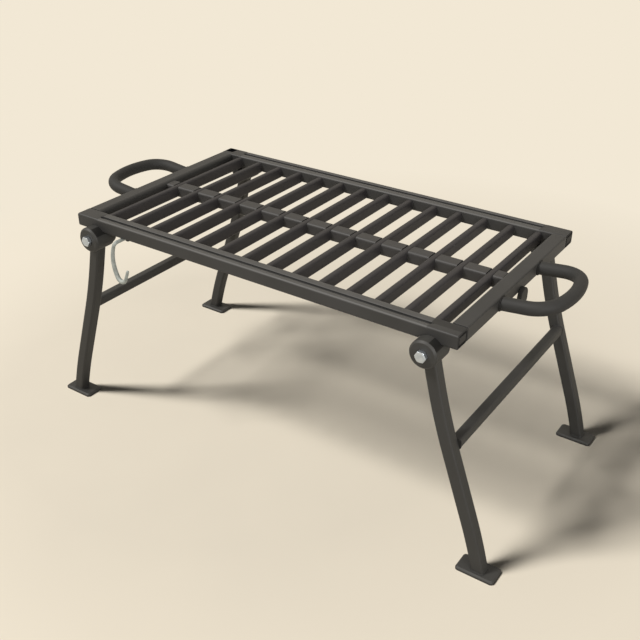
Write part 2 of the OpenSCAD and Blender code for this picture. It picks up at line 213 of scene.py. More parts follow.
def eased(length: float, radius: float, steps: int = 3) -> list[Pair]:
    """Gives places and insets that round both ends of a straight bar.

    Args:
        length: Length of the bar.
        radius: Rounding of its end edges.
        steps: Stretches in each rounding.

    Returns:
        Pairs of a distance along the bar and how far its outline is drawn in there.
    """
    turns = [math.radians(90.0 * k / steps) for k in range(steps + 1)]
    start = [(radius * (1 - math.sin(a)), radius * (1 - math.cos(a))) for a in reversed(turns)]
    return start + [(length - at, inset) for at, inset in reversed(start)]


# Meshes


class Solid:
    """A closed mesh in the making, in millimetres."""

    def __init__(self, name: str) -> None:
        """Starts an empty mesh.

        Args:
            name: Name of the piece.
        """
        self.name = name
        self.mesh = bmesh.new()

    def loft(self, rings: Sequence[Ring], loop: bool = False) -> "Solid":
        """Skins rings of the same count with faces.

        Args:
            rings: The rings, in order.
            loop: Joins the last ring to the first, else both ends are capped.

        Returns:
            This solid.
        """
        rows = [[self.mesh.verts.new(point) for point in ring] for ring in rings]
        count = len(rows[0])
        pairs = list(zip(rows, rows[1:])) + ([(rows[-1], rows[0])] if loop else [])
        for low, high in pairs:
            for k in range(count):
                n = (k + 1) % count
                self.mesh.faces.new((low[k], low[n], high[n], high[k]))
        if not loop:
            self.mesh.faces.new(tuple(reversed(rows[0])))
            self.mesh.faces.new(tuple(rows[-1]))
        return self

    def turn(self, profile: Sequence[Pair], centre: Pair, steps: int = 72) -> "Solid":
        """Turns a closed profile about an axis along Y.

        Args:
            profile: Pairs of a radius and a place along Y.
            centre: The axis, as (x, z).
            steps: Stretches round the axis.

        Returns:
            This solid.
        """
        rings = []
        for k in range(steps):
            a = math.tau * k / steps
            c, s = math.cos(a), math.sin(a)
            rings.append([Vector((centre[0] + r * c, y, centre[1] + r * s)) for r, y in profile])
        return self.loft(rings, loop=True)

    def tidy(self) -> "Solid":
        """Joins points that coincide and turns the faces outwards.

        Returns:
            This solid.
        """
        bmesh.ops.remove_doubles(self.mesh, verts=self.mesh.verts[:], dist=0.0008)
        bmesh.ops.dissolve_degenerate(self.mesh, edges=self.mesh.edges[:], dist=0.0008)
        bmesh.ops.recalc_face_normals(self.mesh, faces=self.mesh.faces[:])
        return self

    def soften(self, width: float, angle: float = 40.0, segments: int = 3) -> "Solid":
        """Rounds the edges that are sharper than an angle.

        Args:
            width: Width of the rounding.
            angle: Least angle between the two faces, in degrees.
            segments: Faces across the rounding.

        Returns:
            This solid.
        """
        self.tidy()
        least = math.radians(angle)
        edges = [e for e in self.mesh.edges if e.is_manifold and e.calc_face_angle(0.0) > least]
        bmesh.ops.bevel(
            self.mesh,
            geom=edges,
            offset=width,
            offset_type="OFFSET",
            segments=segments,
            profile=0.5,
            affect="EDGES",
            clamp_overlap=True,
        )
        return self

    def as_object(self) -> bpy.types.Object:
        """Puts the mesh in the scene as it is.

        Returns:
            The new object.
        """
        self.tidy()
        data = bpy.data.meshes.new(self.name)
        self.mesh.to_mesh(data)
        self.mesh.free()
        piece = bpy.data.objects.new(self.name, data)
        bpy.context.scene.collection.objects.link(piece)
        return piece

    def cut(self, tool: "Solid") -> "Solid":
        """Takes another solid away from this one.

        Args:
            tool: The solid that is taken away.

        Returns:
            This solid.
        """
        name = self.name
        body, knife = self.as_object(), tool.as_object()
        change = body.modifiers.new("cut", "BOOLEAN")
        change.operation = "DIFFERENCE"
        change.solver = "EXACT"
        change.object = knife
        bpy.context.view_layer.update()
        result = body.evaluated_get(bpy.context.evaluated_depsgraph_get())
        self.mesh = bmesh.new()
        self.mesh.from_mesh(result.to_mesh())
        result.to_mesh_clear()
        for done in (body, knife):
            data = done.data
            bpy.data.objects.remove(done)
            bpy.data.meshes.remove(data)
        self.name = name
        return self

    def mirrored(self, side: Side, row: Row) -> "Solid":
        """Mirrors what is drawn for the front left corner to another corner.

        Args:
            side: End of the grate.
            row: Front or back.

        Returns:
            This solid.
        """
        bmesh.ops.scale(self.mesh, vec=(side.value, row.value, 1.0), verts=self.mesh.verts[:])
        return self

    def finish(self, angle: float = 35.0) -> bpy.types.Object:
        """Turns the mesh into a smooth shaded piece in metres.

        Args:
            angle: Angle from which an edge stays sharp, in degrees.

        Returns:
            The piece.
        """
        bmesh.ops.scale(self.mesh, vec=(MM, MM, MM), verts=self.mesh.verts[:])
        bmesh.ops.recalc_face_normals(self.mesh, faces=self.mesh.faces[:])
        data = bpy.data.meshes.new(self.name)
        self.mesh.to_mesh(data)
        self.mesh.free()
        data.shade_smooth()
        data.set_sharp_from_angle(angle=math.radians(angle))
        piece = bpy.data.objects.new(self.name, data)
        bpy.context.scene.collection.objects.link(piece)
        even = piece.modifiers.new("even_normals", "WEIGHTED_NORMAL")
        even.keep_sharp = True
        even.weight = 60
        return piece


@dataclass(frozen=True)
class Stop:
    """One place along the middle line of a bent bar."""

    at: Pair
    heading: float

    def run(self, length: float) -> "Stop":
        """Gives the end of a straight run from here."""
        a = math.radians(self.heading)
        return Stop((self.at[0] + length * math.sin(a), self.at[1] + length * math.cos(a)), self.heading)

    def bend(self, radius: float, turn: float) -> "Stop":
        """Gives the end of a bend from here.

        Args:
            radius: Radius of the bend.
            turn: Its angle in degrees, from up towards the first axis.

        Returns:
            The place at its end.
        """
        k = math.copysign(radius, turn)
        a, b = math.radians(self.heading), math.radians(self.heading + turn)
        x = self.at[0] + k * (math.cos(a) - math.cos(b))
        y = self.at[1] + k * (math.sin(b) - math.sin(a))
        return Stop((x, y), self.heading + turn)


def middle_line(start: Stop, steps: Sequence[Pair], fine: float) -> list[Stop]:
    """Follows a bent bar's middle line.

    Args:
        start: Where it starts.
        steps: Pairs of (length, 0) for a run, or (radius, angle) for a bend.
        fine: Largest angle between two stops of a bend, in degrees.

    Returns:
        The stops, with both ends.
    """
    line = [start]
    for size, turn in steps:
        here = line[-1]
        if turn == 0:
            line.append(here.run(size))
            continue
        count = max(1, math.ceil(abs(turn) / fine))
        line += [here.bend(size, turn * (k + 1) / count) for k in range(count)]
    return line


def round_ring(centre: Vector, across: Vector, aside: Vector, radius: float, count: int) -> Ring:
    """Gives a ring of points round a centre.

    Args:
        centre: Middle of the ring.
        across: First unit direction in its plane.
        aside: Second unit direction in its plane.
        radius: Radius of the ring.
        count: Number of points.

    Returns:
        The ring.
    """
    turns = [math.tau * k / count for k in range(count)]
    return [centre + radius * (math.cos(a) * across + math.sin(a) * aside) for a in turns]


def weld_bead(name: str, path: Sequence[Vector], radius: float, seed: float) -> Solid:
    """Makes a rippled weld bead along a closed path.

    Args:
        name: Name of the piece.
        path: Points along the path, closed from the last to the first.
        radius: Radius of the bead.
        seed: Shifts the ripples.

    Returns:
        The bead.
    """
    count = len(path)
    rings = []
    middle = sum(path, Vector()) / count
    for k, point in enumerate(path):
        along = (path[(k + 1) % count] - path[k - 1]).normalized()
        out = (point - middle).normalized()
        aside = along.cross(out).normalized()
        out = aside.cross(along).normalized()
        ripple = 1 + 0.10 * math.sin(k * 1.9 + seed) + 0.06 * math.sin(k * 0.7 + 2 * seed)
        rings.append(round_ring(point, out, aside, radius * ripple, 10))
    return Solid(name).loft(rings, loop=True)


# Shader node groups


class NodeSheet:
    """Adds nodes to one node tree and links them."""

    def __init__(self, tree: bpy.types.NodeTree) -> None:
        """Takes the tree.

        Args:
            tree: The node tree that is filled.
        """
        self.tree = tree

    def add(self, kind: str, **values: Any) -> bpy.types.Node:
        """Adds a node.

        Args:
            kind: Its type, without the leading ShaderNode.
            **values: Properties of the node.

        Returns:
            The node.
        """
        node = self.tree.nodes.new("ShaderNode" + kind)
        for key, value in values.items():
            setattr(node, key, value)
        return node

    def join(self, source: bpy.types.NodeSocket, target: bpy.types.NodeSocket) -> None:
        """Links one socket to another."""
        self.tree.links.new(source, target)

    def maths(self, operation: str, first: Any, second: Any = 0.0, clamp: bool = False) -> bpy.types.NodeSocket:
        """Adds a Math node.

        Args:
            operation: Its operation.
            first: A socket or a number.
            second: A socket or a number.
            clamp: Keeps the result between 0 and 1.

        Returns:
            Its result.
        """
        node = self.add("Math", operation=operation, use_clamp=clamp)
        for socket, value in zip(node.inputs, (first, second)):
            if isinstance(value, (int, float)):
                socket.default_value = value
            else:
                self.join(value, socket)
        return node.outputs[0]

    def noise(self, vector: bpy.types.NodeSocket, scale: Any, detail: float = 3.0) -> bpy.types.NodeSocket:
        """Adds a Noise Texture.

        Args:
            vector: Where it is read.
            scale: A socket or a number.
            detail: Its detail.

        Returns:
            Its value.
        """
        node = self.add("TexNoise")
        node.inputs["Detail"].default_value = detail
        self.join(vector, node.inputs["Vector"])
        if isinstance(scale, (int, float)):
            node.inputs["Scale"].default_value = scale
        else:
            self.join(scale, node.inputs["Scale"])
        return node.outputs["Fac"] if "Fac" in node.outputs else node.outputs[0]

    def spread(self, value: bpy.types.NodeSocket, low: float, high: float, to: Pair = (0.0, 1.0)) -> Any:
        """Maps a range of values to another.

        Args:
            value: The value.
            low: Start of its range.
            high: End of its range.
            to: The range it is mapped to.

        Returns:
            The mapped value.
        """
        node = self.add("MapRange", clamp=True)
        node.inputs["From Min"].default_value = low
        node.inputs["From Max"].default_value = high
        node.inputs["To Min"].default_value = to[0]
        node.inputs["To Max"].default_value = to[1]
        self.join(value, node.inputs["Value"])
        return node.outputs["Result"]

    def blend(self, factor: Any, first: Any, second: Any) -> bpy.types.NodeSocket:
        """Mixes two colours.

        Args:
            factor: A socket or a number.
            first: A socket or a colour.
            second: A socket or a colour.

        Returns:
            The mixed colour.
        """
        node = self.add("Mix", data_type="RGBA")
        for socket, value in ((node.inputs[0], factor), (node.inputs[6], first), (node.inputs[7], second)):
            if isinstance(value, bpy.types.NodeSocket):
                self.join(value, socket)
            elif isinstance(value, tuple):
                socket.default_value = (*value, 1.0)
            else:
                socket.default_value = value
        return node.outputs[2]


def start_group(
    name: str, inputs: Sequence[tuple[str, str, Any]], outputs: Sequence[tuple[str, str]]
) -> tuple[bpy.types.NodeTree, NodeSheet, bpy.types.Node, bpy.types.Node]:
    """Starts a shader node group with named inputs and outputs.

    Args:
        name: Name of the group.
        inputs: Name, socket type and default of each input.
        outputs: Name and socket type of each output.

    Returns:
        The group, a sheet on it, and its input and output nodes.
    """
    tree = bpy.data.node_groups.new(name, "ShaderNodeTree")
    for label, kind, default in inputs:
        socket = tree.interface.new_socket(name=label, in_out="INPUT", socket_type=kind)
        if default is not None:
            socket.default_value = default
    for label, kind in outputs:
        tree.interface.new_socket(name=label, in_out="OUTPUT", socket_type=kind)
    sheet = NodeSheet(tree)
    return tree, sheet, tree.nodes.new("NodeGroupInput"), tree.nodes.new("NodeGroupOutput")


def coat_grain_group() -> bpy.types.NodeTree:
    """Builds the fine grain of a baked coat.

    Returns:
        The group, which gives a height and a mask of fine specks.
    """
    tree, sheet, inp, out = start_group(
        "coat_grain",
        [("Vector", "NodeSocketVector", None), ("Scale", "NodeSocketFloat", 900.0)],
        [("Height", "NodeSocketFloat"), ("Specks", "NodeSocketFloat")],
    )
    coarse = sheet.noise(inp.outputs["Vector"], inp.outputs["Scale"], 2.0)
    finer = sheet.maths("MULTIPLY", inp.outputs["Scale"], 3.1)
    fine = sheet.noise(inp.outputs["Vector"], finer, 3.0)
    height = sheet.maths("ADD", sheet.maths("MULTIPLY", coarse, 0.65), sheet.maths("MULTIPLY", fine, 0.35))
    sheet.join(height, out.inputs["Height"])
    sheet.join(sheet.spread(fine, 0.60, 0.72), out.inputs["Specks"])
    return tree


def edge_wear_and_highlight_group() -> bpy.types.NodeTree:
    """Builds a mask of outer edges, partly for real wear and partly for a painted highlight along the edges.

    Returns:
        The group, which gives the mask.
    """
    tree, sheet, inp, out = start_group(
        "edge_wear",
        [
            ("Vector", "NodeSocketVector", None),
            ("Radius", "NodeSocketFloat", 0.0012),
            ("Breaks", "NodeSocketFloat", 60.0),
            ("Amount", "NodeSocketFloat", 0.5),
        ],
        [("Mask", "NodeSocketFloat")],
    )
    rounded = sheet.add("Bevel", samples=6)
    sheet.join(inp.outputs["Radius"], rounded.inputs["Radius"])
    plain = sheet.add("NewGeometry")
    dot = sheet.add("VectorMath", operation="DOT_PRODUCT")
    sheet.join(rounded.outputs["Normal"], dot.inputs[0])
    sheet.join(plain.outputs["Normal"], dot.inputs[1])
    edge = sheet.spread(dot.outputs["Value"], 0.995, 0.90)
    breaks = sheet.spread(sheet.noise(inp.outputs["Vector"], inp.outputs["Breaks"], 4.0), 0.38, 0.62)
    mask = sheet.maths("MULTIPLY", sheet.maths("MULTIPLY", edge, breaks), inp.outputs["Amount"], clamp=True)
    sheet.join(mask, out.inputs["Mask"])
    return tree


def dust_film_group() -> bpy.types.NodeTree:
    """Builds a mask of the fine dust that lies on faces that look up.

    Returns:
        The group, which gives the mask.
    """
    tree, sheet, inp, out = start_group(
        "dust_film",
        [
            ("Vector", "NodeSocketVector", None),
            ("Scale", "NodeSocketFloat", 30.0),
            ("Amount", "NodeSocketFloat", 0.1),
        ],
        [("Mask", "NodeSocketFloat")],
    )
    geometry = sheet.add("NewGeometry")
    parts = sheet.add("SeparateXYZ")
    sheet.join(geometry.outputs["Normal"], parts.inputs[0])
    upward = sheet.spread(parts.outputs["Z"], 0.35, 1.0)
    patches = sheet.spread(sheet.noise(inp.outputs["Vector"], inp.outputs["Scale"], 5.0), 0.35, 0.70)
    mask = sheet.maths("MULTIPLY", sheet.maths("MULTIPLY", upward, patches), inp.outputs["Amount"], clamp=True)
    sheet.join(mask, out.inputs["Mask"])
    return tree


def tone_shift_group() -> bpy.types.NodeTree:
    """Builds slow changes of tone over a surface.

    Returns:
        The group, which gives the colour and the value that it follows.
    """
    tree, sheet, inp, out = start_group(
        "tone_shift",
        [
            ("Vector", "NodeSocketVector", None),
            ("Scale", "NodeSocketFloat", 14.0),
            ("Dark", "NodeSocketColor", (0.01, 0.01, 0.01, 1.0)),
            ("Light", "NodeSocketColor", (0.02, 0.02, 0.02, 1.0)),
        ],
        [("Color", "NodeSocketColor"), ("Value", "NodeSocketFloat")],
    )
    slow = sheet.noise(inp.outputs["Vector"], inp.outputs["Scale"], 4.0)
    value = sheet.spread(slow, 0.34, 0.66)
    mixed = sheet.blend(value, (0.0, 0.0, 0.0), (0.0, 0.0, 0.0))
    node = mixed.node
    sheet.join(inp.outputs["Dark"], node.inputs[6])
    sheet.join(inp.outputs["Light"], node.inputs[7])
    sheet.join(mixed, out.inputs["Color"])
    sheet.join(value, out.inputs["Value"])
    return tree


class Effects:
    """The shader node groups that the finishes share."""

    def __init__(self) -> None:
        """Builds each group once."""
        self.coat_grain = coat_grain_group()
        self.edge_wear = edge_wear_and_highlight_group()
        self.dust_film = dust_film_group()
        self.tone_shift = tone_shift_group()

    @staticmethod
    def place(
        sheet: NodeSheet, group: bpy.types.NodeTree, vector: bpy.types.NodeSocket, **values: Any
    ) -> bpy.types.Node:
        """Places a group in a material.

        Args:
            sheet: Sheet on the material's nodes.
            group: The group.
            vector: Where its textures are read.
            **values: Values for its named inputs.

        Returns:
            The group's node.
        """
        node = sheet.add("Group", node_tree=group)
        sheet.join(vector, node.inputs["Vector"])
        for label, value in values.items():
            node.inputs[label].default_value = (*value, 1.0) if isinstance(value, tuple) else value
        return node


@dataclass(frozen=True)
class CoatedSteel:
    """Steel under a baked black coat."""

    name: str
    dark: Colour
    light: Colour
    worn_and_highlit: Colour = (0.075, 0.073, 0.068)
    dust: Colour = (0.23, 0.21, 0.18)
    rough_low: float = 0.54
    rough_high: float = 0.62
    wear_and_highlight: float = 0.15
    wear_and_highlight_radius: float = 0.0010
    dust_amount: float = 0.03
    grain_scale: float = 900.0
    grain_depth: float = 0.00006
    tone_scale: float = 14.0
    reflect: float = 0.36

    def make(self, effects: Effects) -> bpy.types.Material:
        """Builds the material.

        Args:
            effects: The shared node groups.

        Returns:
            The material.
        """
        material = bpy.data.materials.new(self.name)
        material.use_nodes = True
        sheet = NodeSheet(material.node_tree)
        shader = material.node_tree.nodes["Principled BSDF"]
        where = sheet.add("TexCoord").outputs["Object"]
        tone = Effects.place(
            sheet, effects.tone_shift, where, Scale=self.tone_scale, Dark=self.dark, Light=self.light
        )
        grain = Effects.place(sheet, effects.coat_grain, where, Scale=self.grain_scale)
        wear_and_highlight = Effects.place(
            sheet, effects.edge_wear, where, Radius=self.wear_and_highlight_radius, Breaks=55.0, Amount=self.wear_and_highlight
        )
        dust = Effects.place(sheet, effects.dust_film, where, Scale=26.0, Amount=self.dust_amount)
        # Outer edges get a lighter colour: partly real wear, partly a painted highlight.
        colour = sheet.blend(wear_and_highlight.outputs["Mask"], tone.outputs["Color"], self.worn_and_highlit)
        colour = sheet.blend(dust.outputs["Mask"], colour, self.dust)
        sheet.join(colour, shader.inputs["Base Color"])
        rough = sheet.spread(tone.outputs["Value"], 0.0, 1.0, (self.rough_low, self.rough_high))
        rough = sheet.maths("SUBTRACT", rough, sheet.maths("MULTIPLY", wear_and_highlight.outputs["Mask"], 0.10))
        rough = sheet.maths("ADD", rough, sheet.maths("MULTIPLY", dust.outputs["Mask"], 0.6), clamp=True)
        sheet.join(rough, shader.inputs["Roughness"])
        bump = sheet.add("Bump")
        bump.inputs["Strength"].default_value = 0.35
        bump.inputs["Distance"].default_value = self.grain_depth
        sheet.join(grain.outputs["Height"], bump.inputs["Height"])
        sheet.join(bump.outputs["Normal"], shader.inputs["Normal"])
        shader.inputs["Specular IOR Level"].default_value = self.reflect
        return material


@dataclass(frozen=True)
class ZincPlate:
    """Bright zinc plated steel."""

    name: str
    dark: Colour = (0.46, 0.51, 0.57)
    light: Colour = (0.58, 0.63, 0.69)
    worn_and_highlit: Colour = (0.72, 0.76, 0.82)
    wear_and_highlight: float = 0.6
    rough_low: float = 0.26
    rough_high: float = 0.40
    grain_scale: float = 1400.0

    def make(self, effects: Effects) -> bpy.types.Material:
        """Builds the material.

        Args:
            effects: The shared node groups.

        Returns:
            The material.
        """
        material = bpy.data.materials.new(self.name)
        material.use_nodes = True
        sheet = NodeSheet(material.node_tree)
        shader = material.node_tree.nodes["Principled BSDF"]
        where = sheet.add("TexCoord").outputs["Object"]
        tone = Effects.place(sheet, effects.tone_shift, where, Scale=160.0, Dark=self.dark, Light=self.light)
        grain = Effects.place(sheet, effects.coat_grain, where, Scale=self.grain_scale)
        wear_and_highlight = Effects.place(sheet, effects.edge_wear, where, Radius=0.0006, Breaks=300.0, Amount=self.wear_and_highlight)
        # Outer edges get a lighter colour: partly real wear, partly a painted highlight.
        colour = sheet.blend(wear_and_highlight.outputs["Mask"], tone.outputs["Color"], self.worn_and_highlit)
        sheet.join(colour, shader.inputs["Base Color"])
        rough = sheet.spread(tone.outputs["Value"], 0.0, 1.0, (self.rough_high, self.rough_low))
        rough = sheet.maths("ADD", rough, sheet.maths("MULTIPLY", grain.outputs["Specks"], 0.08))
        sheet.join(rough, shader.inputs["Roughness"])
        bump = sheet.add("Bump")
        bump.inputs["Strength"].default_value = 0.25
        bump.inputs["Distance"].default_value = 0.00003
        sheet.join(grain.outputs["Height"], bump.inputs["Height"])
        sheet.join(bump.outputs["Normal"], shader.inputs["Normal"])
        shader.inputs["Metallic"].default_value = 1.0
        return material


class Palette:
    """The finished materials of the grill."""

    def __init__(self) -> None:
        """Builds every material once."""
        effects = Effects()
        self.frame = CoatedSteel("frame_coat", (0.0202, 0.0200, 0.0197), (0.0267, 0.0263, 0.0258)).make(effects)
        self.bars = CoatedSteel(
            "bar_coat", (0.0204, 0.0189, 0.0200), (0.0266, 0.0246, 0.0259), tone_scale=22.0, dust_amount=0.02, reflect=0.28
        ).make(effects)
        self.middle = CoatedSteel(
            "middle_coat", (0.0250, 0.0240, 0.0238), (0.0315, 0.0302, 0.0296), tone_scale=22.0, wear_and_highlight=0.3
        ).make(effects)
        self.handles = CoatedSteel(
            "handle_coat", (0.0180, 0.0178, 0.0172), (0.0235, 0.0232, 0.0222), rough_low=0.66, rough_high=0.74, reflect=0.25
        ).make(effects)
        self.legs = CoatedSteel("leg_coat", (0.0190, 0.0188, 0.0178), (0.0255, 0.0251, 0.0236), tone_scale=10.0).make(
            effects
        )
        self.bead = CoatedSteel(
            "bead_coat", (0.010, 0.0098, 0.0094), (0.015, 0.0147, 0.0140), tone_scale=120.0, rough_low=0.66, rough_high=0.74
        ).make(effects)
        self.bolt = ZincPlate("bolt_zinc").make(effects)
        self.wire = ZincPlate(
            "wire_zinc", (0.30, 0.323, 0.314), (0.365, 0.388, 0.378), rough_low=0.78, rough_high=0.86, wear_and_highlight=0.0
        ).make(effects)
        self.strips = CoatedSteel(
            "strip_coat", (0.049, 0.0475, 0.0452), (0.062, 0.0600, 0.0569), tone_scale=30.0, dust_amount=0.0
        ).make(effects)
        self.ends = CoatedSteel(
            "end_coat", (0.0135, 0.0133, 0.0130), (0.0180, 0.0177, 0.0172), tone_scale=40.0, reflect=0.26
        ).make(effects)
        # Painted shade: a near-black coat for faces that lie in shadow, on the rail ends, the hinge barrels under the
        # rails and the handle roots.
        self.shade = CoatedSteel(
            "shade_coat", (0.008, 0.0078, 0.0074), (0.012, 0.0117, 0.0111), reflect=0.15, wear_and_highlight=0.0, dust_amount=0.0
        ).make(effects)
        # A near-black coat for one patch on the back rail's top at its left end.
        self.black_patch = CoatedSteel(
            "soot_coat", (0.002, 0.002, 0.0024), (0.004, 0.004, 0.0046), reflect=0.0, wear_and_highlight=0.0, dust_amount=0.0
        ).make(effects)


def place_piece(
    piece: bpy.types.Object, body: Body, material: bpy.types.Material, nodes: Sequence[str] = ()
) -> bpy.types.Object:
    """Dresses a piece and lets it ride on its body.

    Args:
        piece: The piece.
        body: The body that it moves with.
        material: Its material.
        nodes: The frame's nodes that it stands for.

    Returns:
        The piece.
    """
    piece.data.materials.clear()
    piece.data.materials.append(material)
    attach(piece, body.value)
    if nodes:
        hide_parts(*nodes)
    LOG.info("%s: %d faces on %s", piece.name, len(piece.data.polygons), body.value)
    return piece


# The grate


@dataclass
class SideRail:
    """A side rail with a groove in its top, crowned strips and round hinge seats."""

    row: Row
    edge_r: float = 2.4
    groove_at: float = 10.6
    groove_half: float = 2.7
    groove_depth: float = 3.0
    groove_end: float = 259.3
    crown: float = 0.75
    end_r: float = 1.5
    seat_r: float = 18.3
    black_patch_x: float = 283.5
    black_patch_y: float = 154.5

    def outline(self, half: float, depth: float, crown: float) -> list[Pair]:
        """Gives the rail's section.

        Args:
            half: Half width of the groove here.
            depth: Depth of the groove here.
            crown: Height of the strips' crown here.

        Returns:
            Pairs of (y, z), for the front rail.
        """
        w, h, r = FRAME.rail_w, FRAME.rail_h, self.edge_r
        at = self.groove_at
        points = arc((w - r, r), r, 0.0, -90.0, 4) + arc((r, r), r, -90.0, -180.0, 4)
        top = arc((r, h - r), r, 180.0, 90.0, 6)
        top += [(r + (at - half - 0.5 - r) * k / 5, h) for k in range(1, 5)]
        lip = min(0.45, half * 0.9)
        deep = min(0.45, depth * 0.5)
        top += [(at - half - lip, h), (at - half - lip * 0.3, h - deep * 0.3), (at - half, h - deep)]
        top += [(at - half, h - depth * 0.8), (at - half * 0.8, h - depth), (at, h - depth)]
        top += [(at + half * 0.8, h - depth), (at + half, h - depth * 0.8)]
        top += [(at + half, h - deep), (at + half + lip * 0.3, h - deep * 0.3), (at + half + lip, h)]
        top += [(at + half + 0.5 + (w - r - at - half - 0.5) * k / 6, h) for k in range(1, 6)]
        top += arc((w - r, h - r), r, 90.0, 0.0, 6)
        strips = ((0.0, at - half), (at + half, w))
        lowered: list[Pair] = []
        for u, z in top:
            drop = 0.0
            for low, high in strips:
                if low - 1e-6 <= u <= high + 1e-6 and z > h - r - 0.01:
                    drop = crown * ((u - (low + high) / 2) / ((high - low) / 2)) ** 2
            lowered.append((u, z - drop))
        return [(-FRAME.side_y + u, FRAME.under + z) for u, z in points + lowered]

    def stations(self) -> list[tuple[float, float, float, float, float]]:
        """Gives the stations from the middle to one end.

        Returns:
            Place, half groove width, groove depth, crown and inset of each.
        """
        g, end, r = self.groove_half, self.groove_end, self.end_r
        rows = [(k * end / 6, g, self.groove_depth, self.crown, 0.0) for k in range(7)]
        for a in (20.0, 40.0, 58.0, 74.0, 86.0):
            t = math.radians(a)
            rows.append((end + g * math.sin(t), g * math.cos(t), self.groove_depth, self.crown, 0.0))
        rows.append((end + g + 0.1, 0.12, 0.05, self.crown * 0.9, 0.0))
        for step, share in ((1.2, 0.55), (2.4, 0.2), (4.0, 0.0)):
            rows.append((end + g + step, 0.12, 0.02, self.crown * share, 0.0))
        # A station where the near-black patch on the back rail's top starts.
        rows.append((self.black_patch_x, 0.12, 0.02, 0.0, 0.0))
        for a in (0.0, 30.0, 60.0, 90.0):
            t = math.radians(a)
            rows.append((FRAME.end_x - r + r * math.sin(t), 0.12, 0.02, 0.0, r * (1 - math.cos(t))))
        for back, inset in ((0.0, 1.6), (0.2, 1.8), (1.8, 1.9), (2.0, 2.2), (2.0, 3.9), (1.8, 4.2), (0.4, 4.4), (0.1, 4.8)):
            rows.append((FRAME.end_x - back, 0.12, 0.02, 0.0, inset))
        return rows

    def build(self, palette: Palette) -> None:
        """Builds and dresses the rail.

        Args:
            palette: The grill's materials.
        """
        half = self.stations()
        rows = [(-x, *rest) for x, *rest in reversed(half[1:])] + [tuple(row) for row in half]
        rings = [
            across_x(x, shrink(self.outline(width, depth, crown), inset)) for x, width, depth, crown, inset in rows
        ]
        rail = Solid(f"{self.row.name.lower()}_side_rail").loft(rings)
        for sign in (-1.0, 1.0):
            seat = Solid("seat")
            centre = (sign * FRAME.hinge_x, FRAME.hinge_z)
            profile = arc(centre, self.seat_r, 0.0, 360.0, 96)[:-1]
            seat.loft([across_y(y, profile) for y in (-200.0, -153.9)])
            rail.cut(seat)
        rail.mirrored(Side.LEFT, self.row)
        node = f"{self.row.name.lower()}_rail"
        piece = place_piece(rail.finish(), Body.FRAME, palette.frame, (node,))
        self.dress_top(piece, palette)

    def dress_top(self, piece: bpy.types.Object, palette: Palette) -> None:
        """Gives the strips beside the groove their finish, the ends a darker coat with painted shade on the back
        rail's end faces and in the end grooves, and one corner a near-black patch.

        Args:
            piece: The finished rail, in metres.
            palette: The grill's materials.
        """
        piece.data.materials.append(palette.strips)
        piece.data.materials.append(palette.black_patch)
        piece.data.materials.append(palette.ends)
        piece.data.materials.append(palette.shade)
        groove = FRAME.side_y - self.groove_at
        for face in piece.data.polygons:
            at = face.center / MM
            front = self.row is Row.FRONT
            # Painted shade: the back rail's end faces and the groove floor at each end take the near-black shade coat;
            # the front rail's other end faces and its top inside the groove past the groove's end take the darker end
            # coat.
            if abs(face.normal.x) > 0.7:
                face.material_index = 3 if front and not 1.2 < FRAME.end_x - abs(at.x) < 2.6 else 4
            elif front and at.x > self.groove_end + 1.0 and face.normal.z > 0.35 and abs(at.y) < groove:
                face.material_index = 3
            if face.normal.z < 0.35 or at.z < FRAME.top - 1.9:
                continue
            if abs(at.x) < self.groove_end + 1.0 and abs(abs(at.y) - groove) > self.groove_half:
                face.material_index = 1
            # A near-black patch on the back rail's top, at its left end.
            if self.row is Row.BACK and at.x < -self.black_patch_x and at.y > self.black_patch_y:
                face.material_index = 2


@dataclass
class EndBar:
    """An end bar between the rails, with a soft outer top edge."""

    side: Side
    outer_r: float = 2.2
    inner_r: float = 4.6
    edge_r: float = 1.6
    seam_r: float = 0.3

    def outline(self) -> list[Pair]:
        """Gives the bar's section, as (x, z) pairs for the left end."""
        x, z = -FRAME.end_x, FRAME.under
        high = (x + FRAME.end_w, FRAME.top)
        r = self.edge_r
        return rounded_box((x, z), high, (r, r, self.inner_r, self.outer_r), 8)

    def build(self, palette: Palette) -> None:
        """Builds and dresses the bar.

        Args:
            palette: The grill's materials.
        """
        long = 2 * FRAME.inner_y
        outline = self.outline()
        rings = [across_y(at - FRAME.inner_y, shrink(outline, inset)) for at, inset in eased(long, self.seam_r)]
        name = f"{self.side.name.lower()}_end_bar"
        bar = Solid(f"{name}_steel").loft(rings).mirrored(self.side, Row.FRONT)
        place_piece(bar.finish(), Body.FRAME, palette.frame, (name,))


